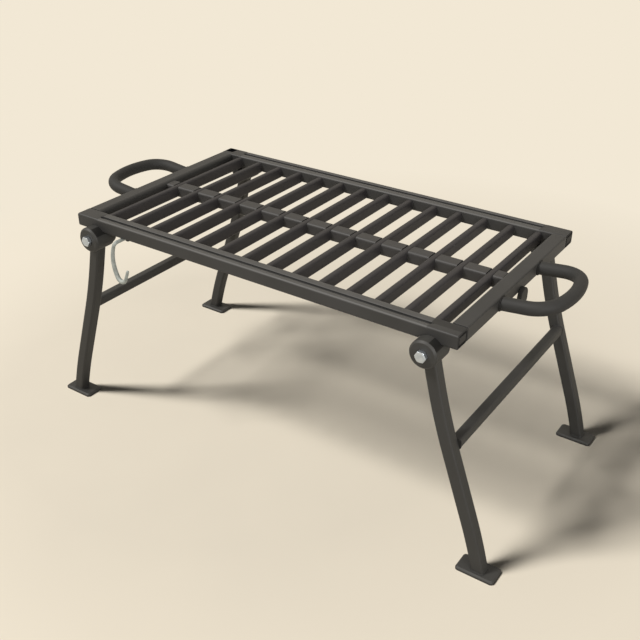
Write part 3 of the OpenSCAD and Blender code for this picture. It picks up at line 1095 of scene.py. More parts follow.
@dataclass
class Grid:
    """The fourteen cross bars and the middle bar that they are half lapped over."""

    count: int = 14
    pitch: float = 521.8 / 13
    bar_w: float = 9.6
    bar_low: float = 302.6
    bar_high: float = 319.5
    bar_r: float = 3.3
    lap: float = 311.05
    mid_w: float = 20.4
    mid_low: float = 302.1
    mid_high: float = 319.5
    mid_r: float = 3.6
    play: float = 0.04

    def places(self) -> list[float]:
        """Gives the places of the cross bars along X."""
        return [(k - (self.count - 1) / 2) * self.pitch for k in range(self.count)]

    def cross_bar(self, at: float) -> list[Ring]:
        """Gives one cross bar's rings.

        Args:
            at: Its place along X.

        Returns:
            The rings from front to back.
        """
        left, right = at - self.bar_w / 2, at + self.bar_w / 2
        r = self.bar_r
        full = rounded_box((left, self.bar_low), (right, self.bar_high), (r, r, r, r), 5)
        short = rounded_box((left, self.lap + self.play), (right, self.bar_high), (0.3, 0.3, r, r), 5)
        lap_y = self.mid_w / 2 + self.play
        rings = [across_y(y, full) for y in (-FRAME.inner_y, -90.0, -45.0, -lap_y)]
        rings += [across_y(y, short) for y in (-lap_y, lap_y)]
        return rings + [across_y(y, full) for y in (lap_y, 45.0, 90.0, FRAME.inner_y)]

    def middle_bar(self) -> list[Ring]:
        """Gives the middle bar's rings from left to right."""
        r = self.mid_r
        half = self.mid_w / 2
        full = rounded_box((-half, self.mid_low), (half, self.mid_high), (r, r, r, r), 6)
        low = rounded_box((-half, self.mid_low), (half, self.lap - self.play), (r, r, 0.3, 0.3), 6)
        rings = [across_x(-FRAME.inner_x, full)]
        for at in self.places():
            edge = self.bar_w / 2 + self.play
            rings += [across_x(at - edge, full), across_x(at - edge, low)]
            rings += [across_x(at + edge, low), across_x(at + edge, full)]
        return rings + [across_x(FRAME.inner_x, full)]

    def build(self, palette: Palette) -> None:
        """Builds and dresses the bars.

        Args:
            palette: The grill's materials.
        """
        middle = Solid("middle_bar_steel").loft(self.middle_bar()).tidy()
        place_piece(middle.finish(), Body.FRAME, palette.middle, ("mid_bar",))
        for k, at in enumerate(self.places()):
            bar = Solid(f"cross_bar_steel_{k + 1:02d}").loft(self.cross_bar(at)).tidy()
            place_piece(bar.finish(), Body.FRAME, palette.bars, (f"cross_bar_{k + 1:02d}",))


@dataclass
class Handle:
    """A carrying handle, one round bar bent to a bowed loop and welded to an end bar."""

    side: Side
    bar_r: float = 8.7
    arm_y: float = 57.1
    reach: float = 67.5
    bend_r: float = 33.0
    bow: float = 16.0
    rise: float = 6.4
    drop: float = 10.0
    bury: float = 4.0
    sides: int = 36
    # Radius of the weld beads that carry painted shade at the arms' roots.
    bead_r: float = 1.7

    def line(self) -> list[Stop]:
        """Gives the handle's middle line in its own plane, reach first."""
        bow_r = self.bend_r + (self.arm_y - self.bend_r) / math.sin(math.radians(self.bow))
        depth = bow_r - (bow_r - self.bend_r) * math.cos(math.radians(self.bow))
        run = self.reach - depth + self.bury
        steps = ((run, 0.0), (self.bend_r, 90 - self.bow), (bow_r, 2 * self.bow))
        steps += ((self.bend_r, 90 - self.bow), (run, 0.0))
        return middle_line(Stop((0.0, -self.bury), 0.0), steps, 4.0)

    def rings(self) -> list[Ring]:
        """Gives the bar's rings, for the right handle."""
        tilt = Matrix.Rotation(math.radians(-self.rise), 3, "Y")
        foot = Vector((FRAME.end_x, 0.0, FRAME.top - self.drop))
        rings = []
        for stop in self.line():
            a = math.radians(stop.heading)
            centre = Vector((stop.at[1], stop.at[0] - self.arm_y, 0.0))
            across = Vector((-math.sin(a), math.cos(a), 0.0))
            ring = round_ring(centre, across, Vector((0.0, 0.0, 1.0)), self.bar_r, self.sides)
            rings.append([foot + tilt @ point for point in ring])
        return rings

    def bead(self, sign: float) -> Solid:
        """Makes the weld bead round one arm.

        Args:
            sign: Minus one for the front arm, one for the back arm.

        Returns:
            The bead, for the right handle.
        """
        r = self.bar_r + 0.1
        path = []
        for k in range(60):
            a = math.tau * k / 60
            z = FRAME.top - self.drop + r * math.sin(a)
            z = min(max(z, FRAME.under + 1.4), FRAME.top - 2.0)
            path.append(Vector((FRAME.end_x + 0.1, sign * self.arm_y + r * math.cos(a), z)))
        return weld_bead(f"{self.side.name.lower()}_handle_bead", path, self.bead_r, sign)

    def build(self, palette: Palette) -> None:
        """Builds and dresses the handle, and its weld beads as dark rings of painted shade where the arms meet the end
        bar.

        Args:
            palette: The grill's materials.
        """
        word = self.side.name.lower()
        other = Side.LEFT if self.side is Side.RIGHT else Side.RIGHT
        bar = Solid(f"{word}_handle_bar").loft(self.rings()).mirrored(other, Row.FRONT)
        place_piece(bar.finish(50.0), Body.FRAME, palette.handles, (f"{word}_handle",))
        for sign, place in ((-1.0, "front"), (1.0, "back")):
            bead = self.bead(sign)
            bead.name = f"{word}_handle_bead_{place}"
            bead.mirrored(other, Row.FRONT)
            # Painted shade: the beads take the near-black shade coat, standing in for the contact shadow round each
            # arm's root.
            place_piece(bead.finish(60.0), Body.FRAME, palette.shade)


@dataclass
class EndTab:
    """The small round ended tab on the right end bar."""

    half: float = 10.5
    thick: float = 6.0
    low: float = 283.6
    high: float = 309.6
    edge_r: float = 1.0

    def build(self, palette: Palette) -> None:
        """Builds and dresses the tab.

        Args:
            palette: The grill's materials.
        """
        outline = arc((0.0, self.low + self.half), self.half, 180.0, 360.0, 28)
        outline += arc((0.0, self.high - self.half), self.half, 0.0, 180.0, 28)
        rings = [
            across_x(FRAME.end_x + at, shrink(outline, inset)) for at, inset in eased(self.thick, self.edge_r)
        ]
        tab = Solid("right_end_tab").loft(rings)
        place_piece(tab.finish(), Body.FRAME, palette.ends, ("end_tab",))


# The hinges


@dataclass
class Hinge:
    """One corner's hinge: its plate, barrel, bolt, washer and nut."""

    barrel_r: float = 18.0
    barrel_in: float = 154.2
    barrel_out: float = 184.2
    # Where the painted shade on the barrel's side starts.
    shade_in: float = 166.0
    chamfer: float = 2.5
    bolt_r: float = 4.0
    bore_r: float = 4.06
    head_in: float = 186.9
    head_h: float = 5.4
    hex_r: float = 7.5
    plate_in: float = 147.9
    plate_out: float = 153.9
    plate_r: float = 15.5
    plate_flare: float = 22.0
    washer_in: float = 146.3
    nut_in: float = 139.9
    tail: float = 138.4
    stud_r: float = 1.9
    stud_at: float = 7.5
    slot_depth: float = 4.6
    slot_gap: float = 0.3
    folds: dict[Side, float] = field(default_factory=lambda: {Side.LEFT: 101.0, Side.RIGHT: 89.0})

    @property
    def axis(self) -> Pair:
        """The hinge axis at the left, as (x, z)."""
        return (-FRAME.hinge_x, FRAME.hinge_z)

    def plate(self) -> Solid:
        """Makes the hinge plate with its stop stud.

        Returns:
            The plate.
        """
        x, z = self.axis
        rise = FRAME.under - z
        r = self.plate_r
        outline = arc((x, z), r, 180.0, 360.0, 40)
        outline += [(x + r + 0.2, z + 2.2), (x + r + 1.2, z + rise - 3.6), (x + r + 3.2, z + rise - 1.6)]
        outline += [(x + self.plate_flare, z + rise), (x - self.plate_flare, z + rise)]
        outline += [(x - r - 3.2, z + rise - 1.6), (x - r - 1.2, z + rise - 3.6), (x - r - 0.2, z + 2.2)]
        thick = self.plate_out - self.plate_in
        stops = eased(thick, 0.6, 2)
        rings = []
        for at, inset in stops:
            ring = [(px, min(pz, FRAME.under)) for px, pz in shrink(outline, inset)]
            top = max(pz for _, pz in ring)
            ring = [(px, FRAME.under if pz > top - 0.01 else pz) for px, pz in ring]
            rings.append(across_y(-(self.plate_in + at), ring))
        plate = Solid("plate").loft(rings)
        bore = Solid("bore").loft(
            [across_y(-y, arc((x, z), self.bore_r, 0.0, 360.0, 48)[:-1]) for y in (self.plate_in - 3, self.plate_out + 3)]
        )
        plate.cut(bore)
        reach = self.plate_out + self.slot_depth - self.slot_gap
        centre = Vector((x, 0.0, z + self.stud_at))
        stud = []
        for y, radius in ((self.plate_in + 3, self.stud_r), (reach - 0.4, self.stud_r), (reach, self.stud_r - 0.4)):
            middle = centre + Vector((0.0, -y, 0.0))
            stud.append(round_ring(middle, Vector((1, 0, 0)), Vector((0, 0, 1)), radius, 24))
        return plate.loft(stud)

    def barrel(self, side: Side) -> Solid:
        """Makes the turning barrel with its bore, chamfer and curved slot.

        Args:
            side: End of the grate, which sets the slot's length.

        Returns:
            The barrel.
        """
        x, z = self.axis
        r, c = self.barrel_r, self.chamfer
        face = self.barrel_out + c
        profile = [(self.bore_r, self.barrel_in), (r - 0.5, self.barrel_in), (r - 0.15, self.barrel_in + 0.15)]
        profile += [(r, self.barrel_in + 0.5), (r, self.shade_in), (r, self.barrel_out - 0.7), (r - 0.12, self.barrel_out - 0.1)]
        profile += [(r - 0.5, self.barrel_out + 0.5), (r - c + 0.6, face - 0.6), (r - c + 0.1, face - 0.12)]
        profile += [(r - c - 0.6, face), (self.bore_r + 0.4, face), (self.bore_r, face - 0.4)]
        barrel = Solid("barrel").turn([(radius, -y) for radius, y in profile], (x, z), 96)
        half = self.stud_r + self.slot_gap
        spread = math.degrees(math.asin(half / self.stud_at))
        first, last = 90.0 - self.folds[side] - spread, 90.0 + spread
        steps = 40
        rings = []
        for k in range(steps + 1):
            a = math.radians(first + (last - first) * k / steps)
            ring = []
            for radius, y in (
                (self.stud_at - half, self.barrel_in - 1.0),
                (self.stud_at + half, self.barrel_in - 1.0),
                (self.stud_at + half, self.barrel_in + self.slot_depth),
                (self.stud_at - half, self.barrel_in + self.slot_depth),
            ):
                ring.append(Vector((x + radius * math.cos(a), -y, z + radius * math.sin(a))))
            rings.append(ring)
        return barrel.cut(Solid("slot").loft(rings))

    def hexagon(self, solid: Solid, low: float, high: float, bore: float, both: bool) -> Solid:
        """Adds a hexagon head or nut with chamfered corners.

        Args:
            solid: The solid it is added to.
            low: Its inner face, as a distance from the middle.
            high: Its outer face.
            bore: Radius of its bore, or zero.
            both: Chamfers the inner face too.

        Returns:
            The solid.
        """
        x, z = self.axis
        flat = self.hex_r * math.cos(math.radians(30.0))
        thick = high - low
        profile = [(0.0, flat - 0.25), (0.12, flat + 0.05), (0.45, 99.0)] if both else [(0.0, flat + 0.15), (0.25, 99.0)]
        profile += [(thick - 1.35, 99.0), (thick - 0.95, flat + 0.85), (thick - 0.55, flat + 0.2)]
        profile += [(thick - 0.28, flat - 0.35), (thick - 0.08, flat - 0.95), (thick, flat - 1.6)]
        count = 96
        rings = []
        for at, limit in profile:
            ring = []
            for k in range(count):
                a = 360.0 * k / count
                edge = flat / math.cos(math.radians((a + 30.0) % 60.0 - 30.0))
                edge = min(edge, self.hex_r - 0.12, limit)
                t = math.radians(a + 30.0)
                ring.append(Vector((x + edge * math.cos(t), -(low + at), z + edge * math.sin(t))))
            rings.append(ring)
        if bore > 0.0:
            for at in (thick, thick - 0.5, 0.5, 0.0):
                radius = bore + (0.5 if at in (thick, 0.0) else 0.0)
                ring = []
                for k in range(count):
                    t = math.radians(360.0 * k / count + 30.0)
                    ring.append(Vector((x + radius * math.cos(t), -(low + at), z + radius * math.sin(t))))
                rings.append(ring)
            return solid.loft(rings, loop=True)
        crown = [(0.02, flat - 3.2), (0.0, 0.05)]
        for sink, radius in crown:
            ring = []
            for k in range(count):
                t = math.radians(360.0 * k / count + 30.0)
                ring.append(Vector((x + radius * math.cos(t), -(high - sink), z + radius * math.sin(t))))
            rings.append(ring)
        return solid.loft(rings)

    def bolt(self, solid: Solid) -> Solid:
        """Adds a bolt with its head, shank and threaded tail.

        Args:
            solid: The solid it is added to.

        Returns:
            The solid.
        """
        x, z = self.axis
        self.hexagon(solid, self.head_in, self.head_in + self.head_h, 0.0, False)
        r = self.bolt_r
        stops = [(self.tail, r - 0.9), (self.tail + 0.5, r - 0.25)]
        y = self.tail + 0.8
        while y < self.nut_in + 0.9:
            stops += [(y, r - 0.05), (y + 0.35, r - 0.55)]
            y += 0.7
        stops += [(y + 0.1, r), (self.head_in + 0.3, r)]
        rings = []
        for at, radius in stops:
            middle = Vector((x, -at, z))
            rings.append(round_ring(middle, Vector((1, 0, 0)), Vector((0, 0, 1)), radius, 36))
        return solid.loft(rings)

    def washer(self, solid: Solid) -> Solid:
        """Adds the washer under the nut.

        Args:
            solid: The solid it is added to.

        Returns:
            The solid.
        """
        low, high, r = self.washer_in, self.plate_in, self.hex_r + 0.6
        profile = [(4.12, low), (r - 0.3, low), (r - 0.08, low + 0.08), (r, low + 0.3)]
        profile += [(r, high - 0.3), (r - 0.3, high), (4.12, high)]
        return solid.turn([(radius, -y) for radius, y in profile], self.axis, 64)

    def build(self, palette: Palette) -> None:
        """Builds and dresses the hinges of all four corners.

        Args:
            palette: The grill's materials.
        """
        kinds: dict[str, Callable[[Solid], Solid]] = {
            "hinge_bolts": self.bolt,
            "hinge_nuts": lambda solid: self.hexagon(solid, self.nut_in, self.washer_in, self.bore_r, True),
            "hinge_washers": self.washer,
        }
        for node, draw in kinds.items():
            group = Solid(f"{node}_steel")
            for side in Side:
                for row in Row:
                    one = Solid("one")
                    draw(one)
                    one.tidy().mirrored(side, row)
                    data = bpy.data.meshes.new("one")
                    one.mesh.to_mesh(data)
                    one.mesh.free()
                    group.mesh.from_mesh(data)
                    bpy.data.meshes.remove(data)
            bright = node == "hinge_bolts"
            slot, coat = (Slot.ZINC, palette.bolt) if bright else (Slot.FRAME, palette.bead)
            piece = place_piece(group.finish(30.0), Body.FRAME, coat, (node,))
            if bright:
                piece.data.materials.append(palette.bead)
                for face in piece.data.polygons:
                    face.material_index = int(abs(face.center.y) / MM < self.plate_in)
        for side in Side:
            body = Body.LEFT_LEGS if side is Side.LEFT else Body.RIGHT_LEGS
            for row in Row:
                words = (row.name.lower(), side.name.lower())
                plate = self.plate().mirrored(side, row)
                plate.name = f"{words[0]}_{words[1]}_hinge_plate"
                place_piece(plate.finish(), Body.FRAME, palette.frame, (f"{words[0]}_{words[1]}_lug",))
                barrel = self.barrel(side).mirrored(side, row)
                barrel.name = f"{words[1]}_{words[0]}_barrel"
                piece = place_piece(
                    barrel.finish(28.0), body, palette.legs, (f"{words[1]}_{words[0]}_knuckle",)
                )
                piece.data.materials.append(palette.shade)
                # Painted shade: the barrel's faces that look up and outwards on its front half lie in shadow and take
                # the near-black shade coat.
                for face in piece.data.polygons:
                    under_rail_shade = abs(face.normal.y) < 0.3 and face.normal.x > 0.3 and face.normal.z > 0.45
                    face.material_index = int(under_rail_shade and abs(face.center.y) / MM > self.shade_in)


# The legs


@dataclass
class LegPair:
    """One end's two legs with their brace and foot plates."""

    side: Side
    edge_r: float = 3.2
    top_lean: float = 13.5
    mid_lean: float = 19.4
    foot_lean: float = 15.2
    top_run: float = 43.2
    top_bend_r: float = 880.0
    foot_bend_r: float = 786.0
    foot_run: float = 20.0
    brace_t: float = 14.0
    brace_r: float = 3.4
    brace_z: float = 172.0
    brace_out: float = 4.0
    foot_l: float = 51.4
    foot_w: float = 29.6
    foot_t: float = 5.0
    foot_r: float = 4.2
    foot_bevel: float = 2.0
    foot_shift: float = 2.4
    foot_in: float = 1.4
    bead_r: float = 0.9

    @property
    def body(self) -> Body:
        """The body that this pair is."""
        return Body.LEFT_LEGS if self.side is Side.LEFT else Body.RIGHT_LEGS

    def line(self) -> list[Stop]:
        """Gives the leg's middle line from the hinge axis down, heading outwards."""
        lean, mid, foot = (math.radians(a) for a in (self.top_lean, self.mid_lean, self.foot_lean))
        start_z = FRAME.hinge_z - self.top_run * math.cos(lean)
        start_z -= self.top_bend_r * (math.sin(mid) - math.sin(lean))
        end_z = self.foot_run + self.foot_bend_r * (math.sin(mid) - math.sin(foot))
        run = (start_z - end_z) / math.cos(mid)
        last = (self.foot_run - self.foot_t + 1.0) / math.cos(foot)
        steps = ((self.top_run, 0.0), (self.top_bend_r, self.mid_lean - self.top_lean), (run, 0.0))
        steps += ((self.foot_bend_r, self.foot_lean - self.mid_lean), (last, 0.0))
        start = Stop((0.0, 0.0), self.top_lean)
        line = middle_line(start, steps, 0.35)
        return [start.run(13.5)] + line[1:]

    def place(self, stop: Stop) -> tuple[Vector, Vector]:
        """Gives a stop's place and the leg's outward direction there, at the front left."""
        a = math.radians(stop.heading)
        at = Vector((-FRAME.hinge_x - stop.at[0], -FRAME.leg_y, FRAME.hinge_z - stop.at[1]))
        return at, Vector((-math.cos(a), 0.0, math.sin(a)))

    def leg(self) -> Solid:
        """Makes one leg, a square bar with rounded edges in a shallow S.

        Returns:
            The leg.
        """
        half = FRAME.leg_t / 2
        outline = rounded_box((-half, -half), (half, half), (self.edge_r,) * 4, 5)
        floor = self.foot_t - 0.4
        rings = []
        for stop in self.line():
            at, out = self.place(stop)
            rings.append([at + u * out + Vector((0.0, v, 0.0)) for u, v in outline])
        down = Vector((rings[-1][0] - rings[-2][0])).normalized()
        rings[-1] = [point + down * ((point.z - floor) / -down.z) for point in rings[-1]]
        return Solid("leg").loft(rings)

    def foot_x(self) -> float:
        """Gives the leg's place where it meets the foot plate, at the left."""
        at, _ = self.place(self.line()[-1])
        lean = math.radians(self.foot_lean)
        return at.x + (self.foot_t - at.z) * math.tan(lean)

    def foot(self) -> Solid:
        """Makes one foot plate with round corners and a bevelled top edge.

        Returns:
            The plate.
        """
        x = self.foot_x() + self.foot_shift
        y = self.foot_in - FRAME.leg_y
        low = (x - self.foot_l / 2, y - self.foot_w / 2)
        high = (x + self.foot_l / 2, y + self.foot_w / 2)
        outline = rounded_box(low, high, (self.foot_r,) * 4, 8)
        t, b = self.foot_t, self.foot_bevel
        rows = ((0.0, 0.3), (0.3, 0.0), (t - b - 0.2, 0.0), (t - b + 0.15, 0.15), (t - 0.15, b - 0.15), (t, b + 0.2))
        return Solid("foot").loft([across_z(z, shrink(outline, inset)) for z, inset in rows])

    def foot_bead(self) -> Solid:
        """Makes the weld bead round the leg's end on its plate.

        Returns:
            The bead.
        """
        x = self.foot_x()
        half = FRAME.leg_t / 2
        wide = half / math.cos(math.radians(self.foot_lean))
        corners = rounded_box((x - wide, -FRAME.leg_y - half), (x + wide, -FRAME.leg_y + half), (self.edge_r,) * 4, 4)
        path = even_path([Vector((u, v, self.foot_t + 0.1)) for u, v in corners], 56)
        return weld_bead("foot_bead", path, self.bead_r, 0.7)

    def brace_middle(self) -> float:
        """Gives the brace's middle along X, a little outside the leg's middle, at the left."""
        line = self.line()
        for first, second in zip(line, line[1:]):
            a, b = self.place(first)[0], self.place(second)[0]
            if a.z >= self.brace_z >= b.z:
                share = (a.z - self.brace_z) / (a.z - b.z)
                return a.x + (b.x - a.x) * share - self.brace_out
        return self.place(line[-1])[0].x

    def brace(self) -> Solid:
        """Makes the bar between the two legs.

        Returns:
            The brace.
        """
        x, half = self.brace_middle(), self.brace_t / 2
        outline = rounded_box(
            (x - half, self.brace_z - half), (x + half, self.brace_z + half), (self.brace_r,) * 4, 5
        )
        end = FRAME.leg_y - FRAME.leg_t / 2
        return Solid("brace").loft([across_y(y, outline) for y in (-end, -100.0, -50.0, 0.0, 50.0, 100.0, end)])

    def brace_bead(self) -> Solid:
        """Makes the weld bead at the brace's front end.

        Returns:
            The bead.
        """
        x, half = self.brace_middle(), self.brace_t / 2
        outline = rounded_box(
            (x - half, self.brace_z - half), (x + half, self.brace_z + half), (self.brace_r,) * 4, 4
        )
        y = -(FRAME.leg_y - FRAME.leg_t / 2) + 0.1
        path = even_path([Vector((u, y, v)) for u, v in outline], 48)
        return weld_bead("brace_bead", path, 0.7, 1.3)

    def build(self, palette: Palette) -> None:
        """Builds and dresses the pair.

        Args:
            palette: The grill's materials.
        """
        word = self.side.name.lower()
        brace = self.brace().mirrored(self.side, Row.FRONT)
        brace.name = f"{word}_brace_bar"
        place_piece(brace.finish(), self.body, palette.legs, (f"{word}_brace",))
        for row in Row:
            corner = f"{word}_{row.name.lower()}"
            leg = self.leg().mirrored(self.side, row)
            leg.name = f"{corner}_leg_bar"
            place_piece(leg.finish(), self.body, palette.legs, (f"{corner}_leg",))
            foot = self.foot().mirrored(self.side, row)
            foot.name = f"{corner}_foot_plate"
            place_piece(foot.finish(), self.body, palette.legs, (f"{corner}_foot",))
            for kind, bead in (("foot", self.foot_bead()), ("brace", self.brace_bead())):
                bead.mirrored(self.side, row)
                bead.name = f"{corner}_{kind}_bead"
                place_piece(bead.finish(60.0), self.body, palette.bead)


def even_path(corners: Sequence[Vector], count: int) -> list[Vector]:
    """Spaces points evenly along a closed path.

    Args:
        corners: The path's points, closed from the last to the first.
        count: Number of points wanted.

    Returns:
        The evenly spaced points.
    """
    loop = list(corners) + [corners[0]]
    lengths = [(b - a).length for a, b in zip(loop, loop[1:])]
    total = sum(lengths)
    points = []
    for k in range(count):
        left = total * k / count
        for a, b, length in zip(loop, loop[1:], lengths):
            if left <= length and length > 0.0:
                points.append(a.lerp(b, left / length))
                break
            left -= length
    return points


# The hook


@dataclass
class WireHook:
    """The wire hook under the front rail with the eye that carries it."""

    pivot: Pair = (-218.5, 300.3)
    wire_r: float = 2.6
    belly_r: float = 3.3
    tip_r: float = 2.1
    run_start: float = 148.4
    hang_y: float = 181.0
    bend_r: float = 5.0
    lean: float = 24.0
    back_r: float = 57.6
    back_turn: float = 49.8
    curl_r: float = 8.3
    curl_turn: float = 132.2
    tip: float = 15.0
    collar_r: float = 3.1
    collar: Pair = (146.4, 148.5)
    eye: Pair = (148.8, 157.8)
    eye_r: float = 6.26

    def radius(self, share: float) -> float:
        """Gives the wire's radius a share of the way down its hanging part."""
        if share < 0.25:
            return self.wire_r + (self.belly_r - self.wire_r) * 4 * max(share, 0.0)
        if share < 0.65:
            return self.belly_r
        return self.belly_r - (self.belly_r - self.tip_r) * (share - 0.65) / 0.35

    def path(self) -> tuple[list[Vector], int]:
        """Gives the wire's middle line from the eye to its tip, and where its hanging part starts."""
        x, z = self.pivot
        a = math.radians(self.lean)
        down = Vector((-math.sin(a), 0.0, -math.cos(a)))
        front = Vector((0.0, -1.0, 0.0))
        corner = Vector((x, -(self.hang_y - self.bend_r), z))
        points = [Vector((x, -self.run_start, z)), Vector((x, -158.0, z)), Vector((x, -167.0, z)), corner]
        for k in range(1, 9):
            t = math.radians(90.0 * k / 9)
            points.append(corner + self.bend_r * (math.sin(t) * front + (1 - math.cos(t)) * down))
        start = Stop((-self.bend_r * math.sin(a), -self.bend_r * math.cos(a)), 180.0 + self.lean)
        bends = ((self.back_r, -self.back_turn), (self.curl_r, -self.curl_turn))
        line = middle_line(start, bends, 2.5)
        for k in range(1, 7):
            line.append(line[-1].run(self.tip / 6))
        hang = [Vector((x + stop.at[0], -self.hang_y, z + stop.at[1])) for stop in line]
        return points + hang, len(points)

    def wire(self) -> Solid:
        """Makes the wire with its upset head and round tip.

        Returns:
            The wire.
        """
        points, first = self.path()
        side = Vector((0.0, 0.0, 1.0))
        rings = []
        count = len(points)
        for k, point in enumerate(points):
            along = (points[min(k + 1, count - 1)] - points[max(k - 1, 0)]).normalized()
            side = (side - side.dot(along) * along).normalized()
            radius = self.radius((k - first) / (count - 1 - first))
            rings.append(round_ring(point, side, along.cross(side), radius, 24))
        along = (points[-1] - points[-2]).normalized()
        for a in (25.0, 50.0, 72.0, 86.0):
            t = math.radians(a)
            centre = points[-1] + along * self.tip_r * math.sin(t)
            rings.append(round_ring(centre, side, along.cross(side), self.tip_r * math.cos(t), 24))
        x, z = self.pivot
        low, high = self.collar
        wire = Solid("hook_wire").loft(rings)
        head = []
        for y, radius in ((low, 2.3), (low + 0.3, 2.9), (low + 0.8, 3.1), (high - 0.3, 3.1), (high, 2.8)):
            head.append(round_ring(Vector((x, -y, z)), Vector((1, 0, 0)), Vector((0, 0, 1)), radius, 32))
        return wire.loft(head)

    def eye_block(self) -> Solid:
        """Makes the eye under the rail.

        Returns:
            The eye.
        """
        x, z = self.pivot
        r = self.eye_r
        outline = arc((x, z), r, 180.0, 360.0, 28) + [(x + r, FRAME.under), (x - r, FRAME.under)]
        low, high = self.eye
        rings = []
        for at, inset in eased(high - low, 0.6, 2):
            ring = shrink(outline, inset)
            top = max(pz for _, pz in ring)
            rings.append(across_y(-(low + at), [(px, FRAME.under if pz > top - 0.01 else pz) for px, pz in ring]))
        block = Solid("eye").loft(rings)
        bore = arc((x, z), self.wire_r + 0.06, 0.0, 360.0, 40)[:-1]
        return block.cut(Solid("eye_bore").loft([across_y(-y, bore) for y in (low - 2, high + 2)]))

    def build(self, palette: Palette) -> None:
        """Builds and dresses the hook and its eye.

        Args:
            palette: The grill's materials.
        """
        eye = self.eye_block()
        eye.name = "hook_eye_steel"
        place_piece(eye.finish(), Body.FRAME, palette.frame, ("hook_eye",))
        place_piece(self.wire().finish(50.0), Body.HOOK, palette.wire, ("hook",))


# The set


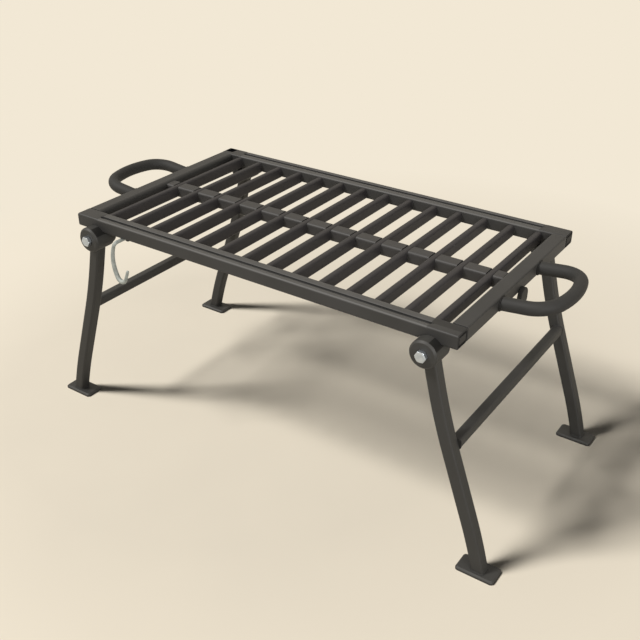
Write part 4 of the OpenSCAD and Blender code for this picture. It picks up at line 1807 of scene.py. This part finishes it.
@dataclass
class Studio:
    """The pale floor, the soft light and the camera."""

    near: Colour = (0.79, 0.722, 0.600)
    far: Colour = (0.888, 0.807, 0.665)
    edge: Colour = (0.900, 0.820, 0.679)
    sky: Colour = (0.888, 0.807, 0.672)
    ambient: float = 0.05
    key_place: Colour = (-4.7, -4.3, 8.4)
    key_size: Pair = (1.8, 3.5)
    key_power: float = 1240.0
    fill_place: Colour = (1.75, -1.2, 1.1)
    fill_size: Pair = (1.3, 1.3)
    fill_power: float = 40.0
    eye: Colour = (0.64588, -0.93562, 0.81758)
    tilt: Colour = (60.126, 0.0, 34.618)
    lens: float = 50.0

    def floor(self) -> bpy.types.Object:
        """Makes the floor, which turns into the backdrop's own colour far behind."""
        data = bpy.data.meshes.new("floor")
        size = 9.0
        data.from_pydata([(-size, -size, 0), (size, -size, 0), (size, size, 0), (-size, size, 0)], [], [(0, 1, 2, 3)])
        floor = bpy.data.objects.new("floor", data)
        bpy.context.scene.collection.objects.link(floor)
        material = bpy.data.materials.new("floor_paper")
        material.use_nodes = True
        sheet = NodeSheet(material.node_tree)
        shader = material.node_tree.nodes["Principled BSDF"]
        end = material.node_tree.nodes["Material Output"]
        where = sheet.add("TexCoord").outputs["Object"]
        away = sheet.add("VectorMath", operation="LENGTH")
        sheet.join(where, away.inputs[0])
        grain = sheet.spread(sheet.noise(where, 5.0, 3.0), 0.3, 0.7, (0.0, 0.25))
        aside = sheet.add("VectorMath", operation="ADD")
        aside.inputs[1].default_value = (0.15, 0.0, 0.0)
        sheet.join(where, aside.inputs[0])
        spot = sheet.add("VectorMath", operation="LENGTH")
        sheet.join(aside.outputs[0], spot.inputs[0])
        paper = sheet.blend(grain, self.near, self.far)
        paper = sheet.blend(sheet.spread(spot.outputs["Value"], 0.38, 0.68), paper, self.edge)
        sheet.join(paper, shader.inputs["Base Color"])
        shader.inputs["Roughness"].default_value = 0.95
        shader.inputs["Specular IOR Level"].default_value = 0.1
        glow = sheet.add("Emission")
        glow.inputs["Color"].default_value = (*self.far, 1.0)
        mix = sheet.add("MixShader")
        sheet.join(sheet.spread(away.outputs["Value"], 0.5, 1.1), mix.inputs[0])
        sheet.join(shader.outputs[0], mix.inputs[1])
        sheet.join(glow.outputs[0], mix.inputs[2])
        sheet.join(mix.outputs[0], end.inputs["Surface"])
        floor.data.materials.append(material)
        return floor

    def world(self) -> None:
        """Gives the world a plain level for light and its own colour for what is seen in it."""
        world = bpy.data.worlds.new("studio")
        bpy.context.scene.world = world
        world.use_nodes = True
        sheet = NodeSheet(world.node_tree)
        light = world.node_tree.nodes["Background"]
        light.inputs["Color"].default_value = (0.97, 0.98, 1.0, 1.0)
        light.inputs["Strength"].default_value = self.ambient
        seen = sheet.add("Background")
        seen.inputs["Color"].default_value = (*self.sky, 1.0)
        path = sheet.add("LightPath")
        looks = sheet.maths("MAXIMUM", path.outputs["Is Camera Ray"], path.outputs["Is Glossy Ray"])
        looks = sheet.maths("MAXIMUM", looks, path.outputs["Is Transmission Ray"])
        mix = sheet.add("MixShader")
        sheet.join(looks, mix.inputs[0])
        sheet.join(light.outputs[0], mix.inputs[1])
        sheet.join(seen.outputs[0], mix.inputs[2])
        sheet.join(mix.outputs[0], world.node_tree.nodes["World Output"].inputs["Surface"])

    def lamp(
        self, name: str, place: Colour, aim: Colour, size: Pair, power: float, colour: Colour
    ) -> bpy.types.Object:
        """Adds a soft lamp.

        Args:
            name: Its name.
            place: Where it hangs, in metres.
            aim: What it points at.
            size: Its width and its length.
            power: Its power in watts.
            colour: Its colour.

        Returns:
            The lamp.
        """
        data = bpy.data.lights.new(name, "AREA")
        data.shape = "RECTANGLE"
        data.size, data.size_y = size
        data.energy = power
        data.color = colour
        lamp = bpy.data.objects.new(name, data)
        lamp.location = place
        lamp.rotation_euler = (Vector(aim) - Vector(place)).to_track_quat("-Z", "Y").to_euler()
        bpy.context.scene.collection.objects.link(lamp)
        return lamp

    def fill(self, pieces: Sequence[bpy.types.Object]) -> None:
        """Adds a soft fill from the right that lights only the grill.

        Args:
            pieces: The grill's pieces.
        """
        lit = bpy.data.collections.new("fill_receivers")
        for piece in pieces:
            lit.objects.link(piece)
        lamp = self.lamp("fill", self.fill_place, (0.0, 0.0, 0.25), self.fill_size, self.fill_power, (1.0, 0.99, 0.98))
        lamp.light_linking.receiver_collection = lit

    def camera(self) -> None:
        """Sets the camera at the photograph's place."""
        data = bpy.data.cameras.new("camera")
        data.lens = self.lens
        data.sensor_width = 36.0
        data.clip_start = 0.02
        camera = bpy.data.objects.new("camera", data)
        camera.location = self.eye
        camera.rotation_euler = tuple(math.radians(a) for a in self.tilt)
        bpy.context.scene.collection.objects.link(camera)
        bpy.context.scene.camera = camera

    def build(self) -> None:
        """Sets up floor, world, lamps and camera."""
        bpy.context.scene.view_settings.view_transform = "Standard"
        self.floor()
        self.world()
        self.lamp("key", self.key_place, (0.0, 0.0, 0.2), self.key_size, self.key_power, (1.0, 0.98, 0.95))
        self.camera()
        LOG.info("studio is set")


def write_sizes() -> None:
    """Defines a helper that gives a box as plain lists of numbers, and does nothing else."""

    def plain(box: Any) -> list[list[float]]:
        """Gives a box as plain lists of numbers."""
        return [[float(v) for v in corner] for corner in box]


def main() -> None:
    """Builds the set and every sub-assembly of the grill in order."""
    logging.basicConfig(level=logging.INFO, format="%(name)s: %(message)s")
    studio = Studio()
    studio.build()
    before = set(bpy.data.objects)
    palette = Palette()
    for row in Row:
        SideRail(row).build(palette)
    for side in Side:
        EndBar(side).build(palette)
    Grid().build(palette)
    for side in Side:
        Handle(side).build(palette)
    EndTab().build(palette)
    Hinge().build(palette)
    for side in Side:
        LegPair(side).build(palette)
    WireHook().build(palette)
    studio.fill([piece for piece in bpy.data.objects if piece not in before and piece.type == "MESH"])
    write_sizes()


if __name__ == "__main__":
    main()
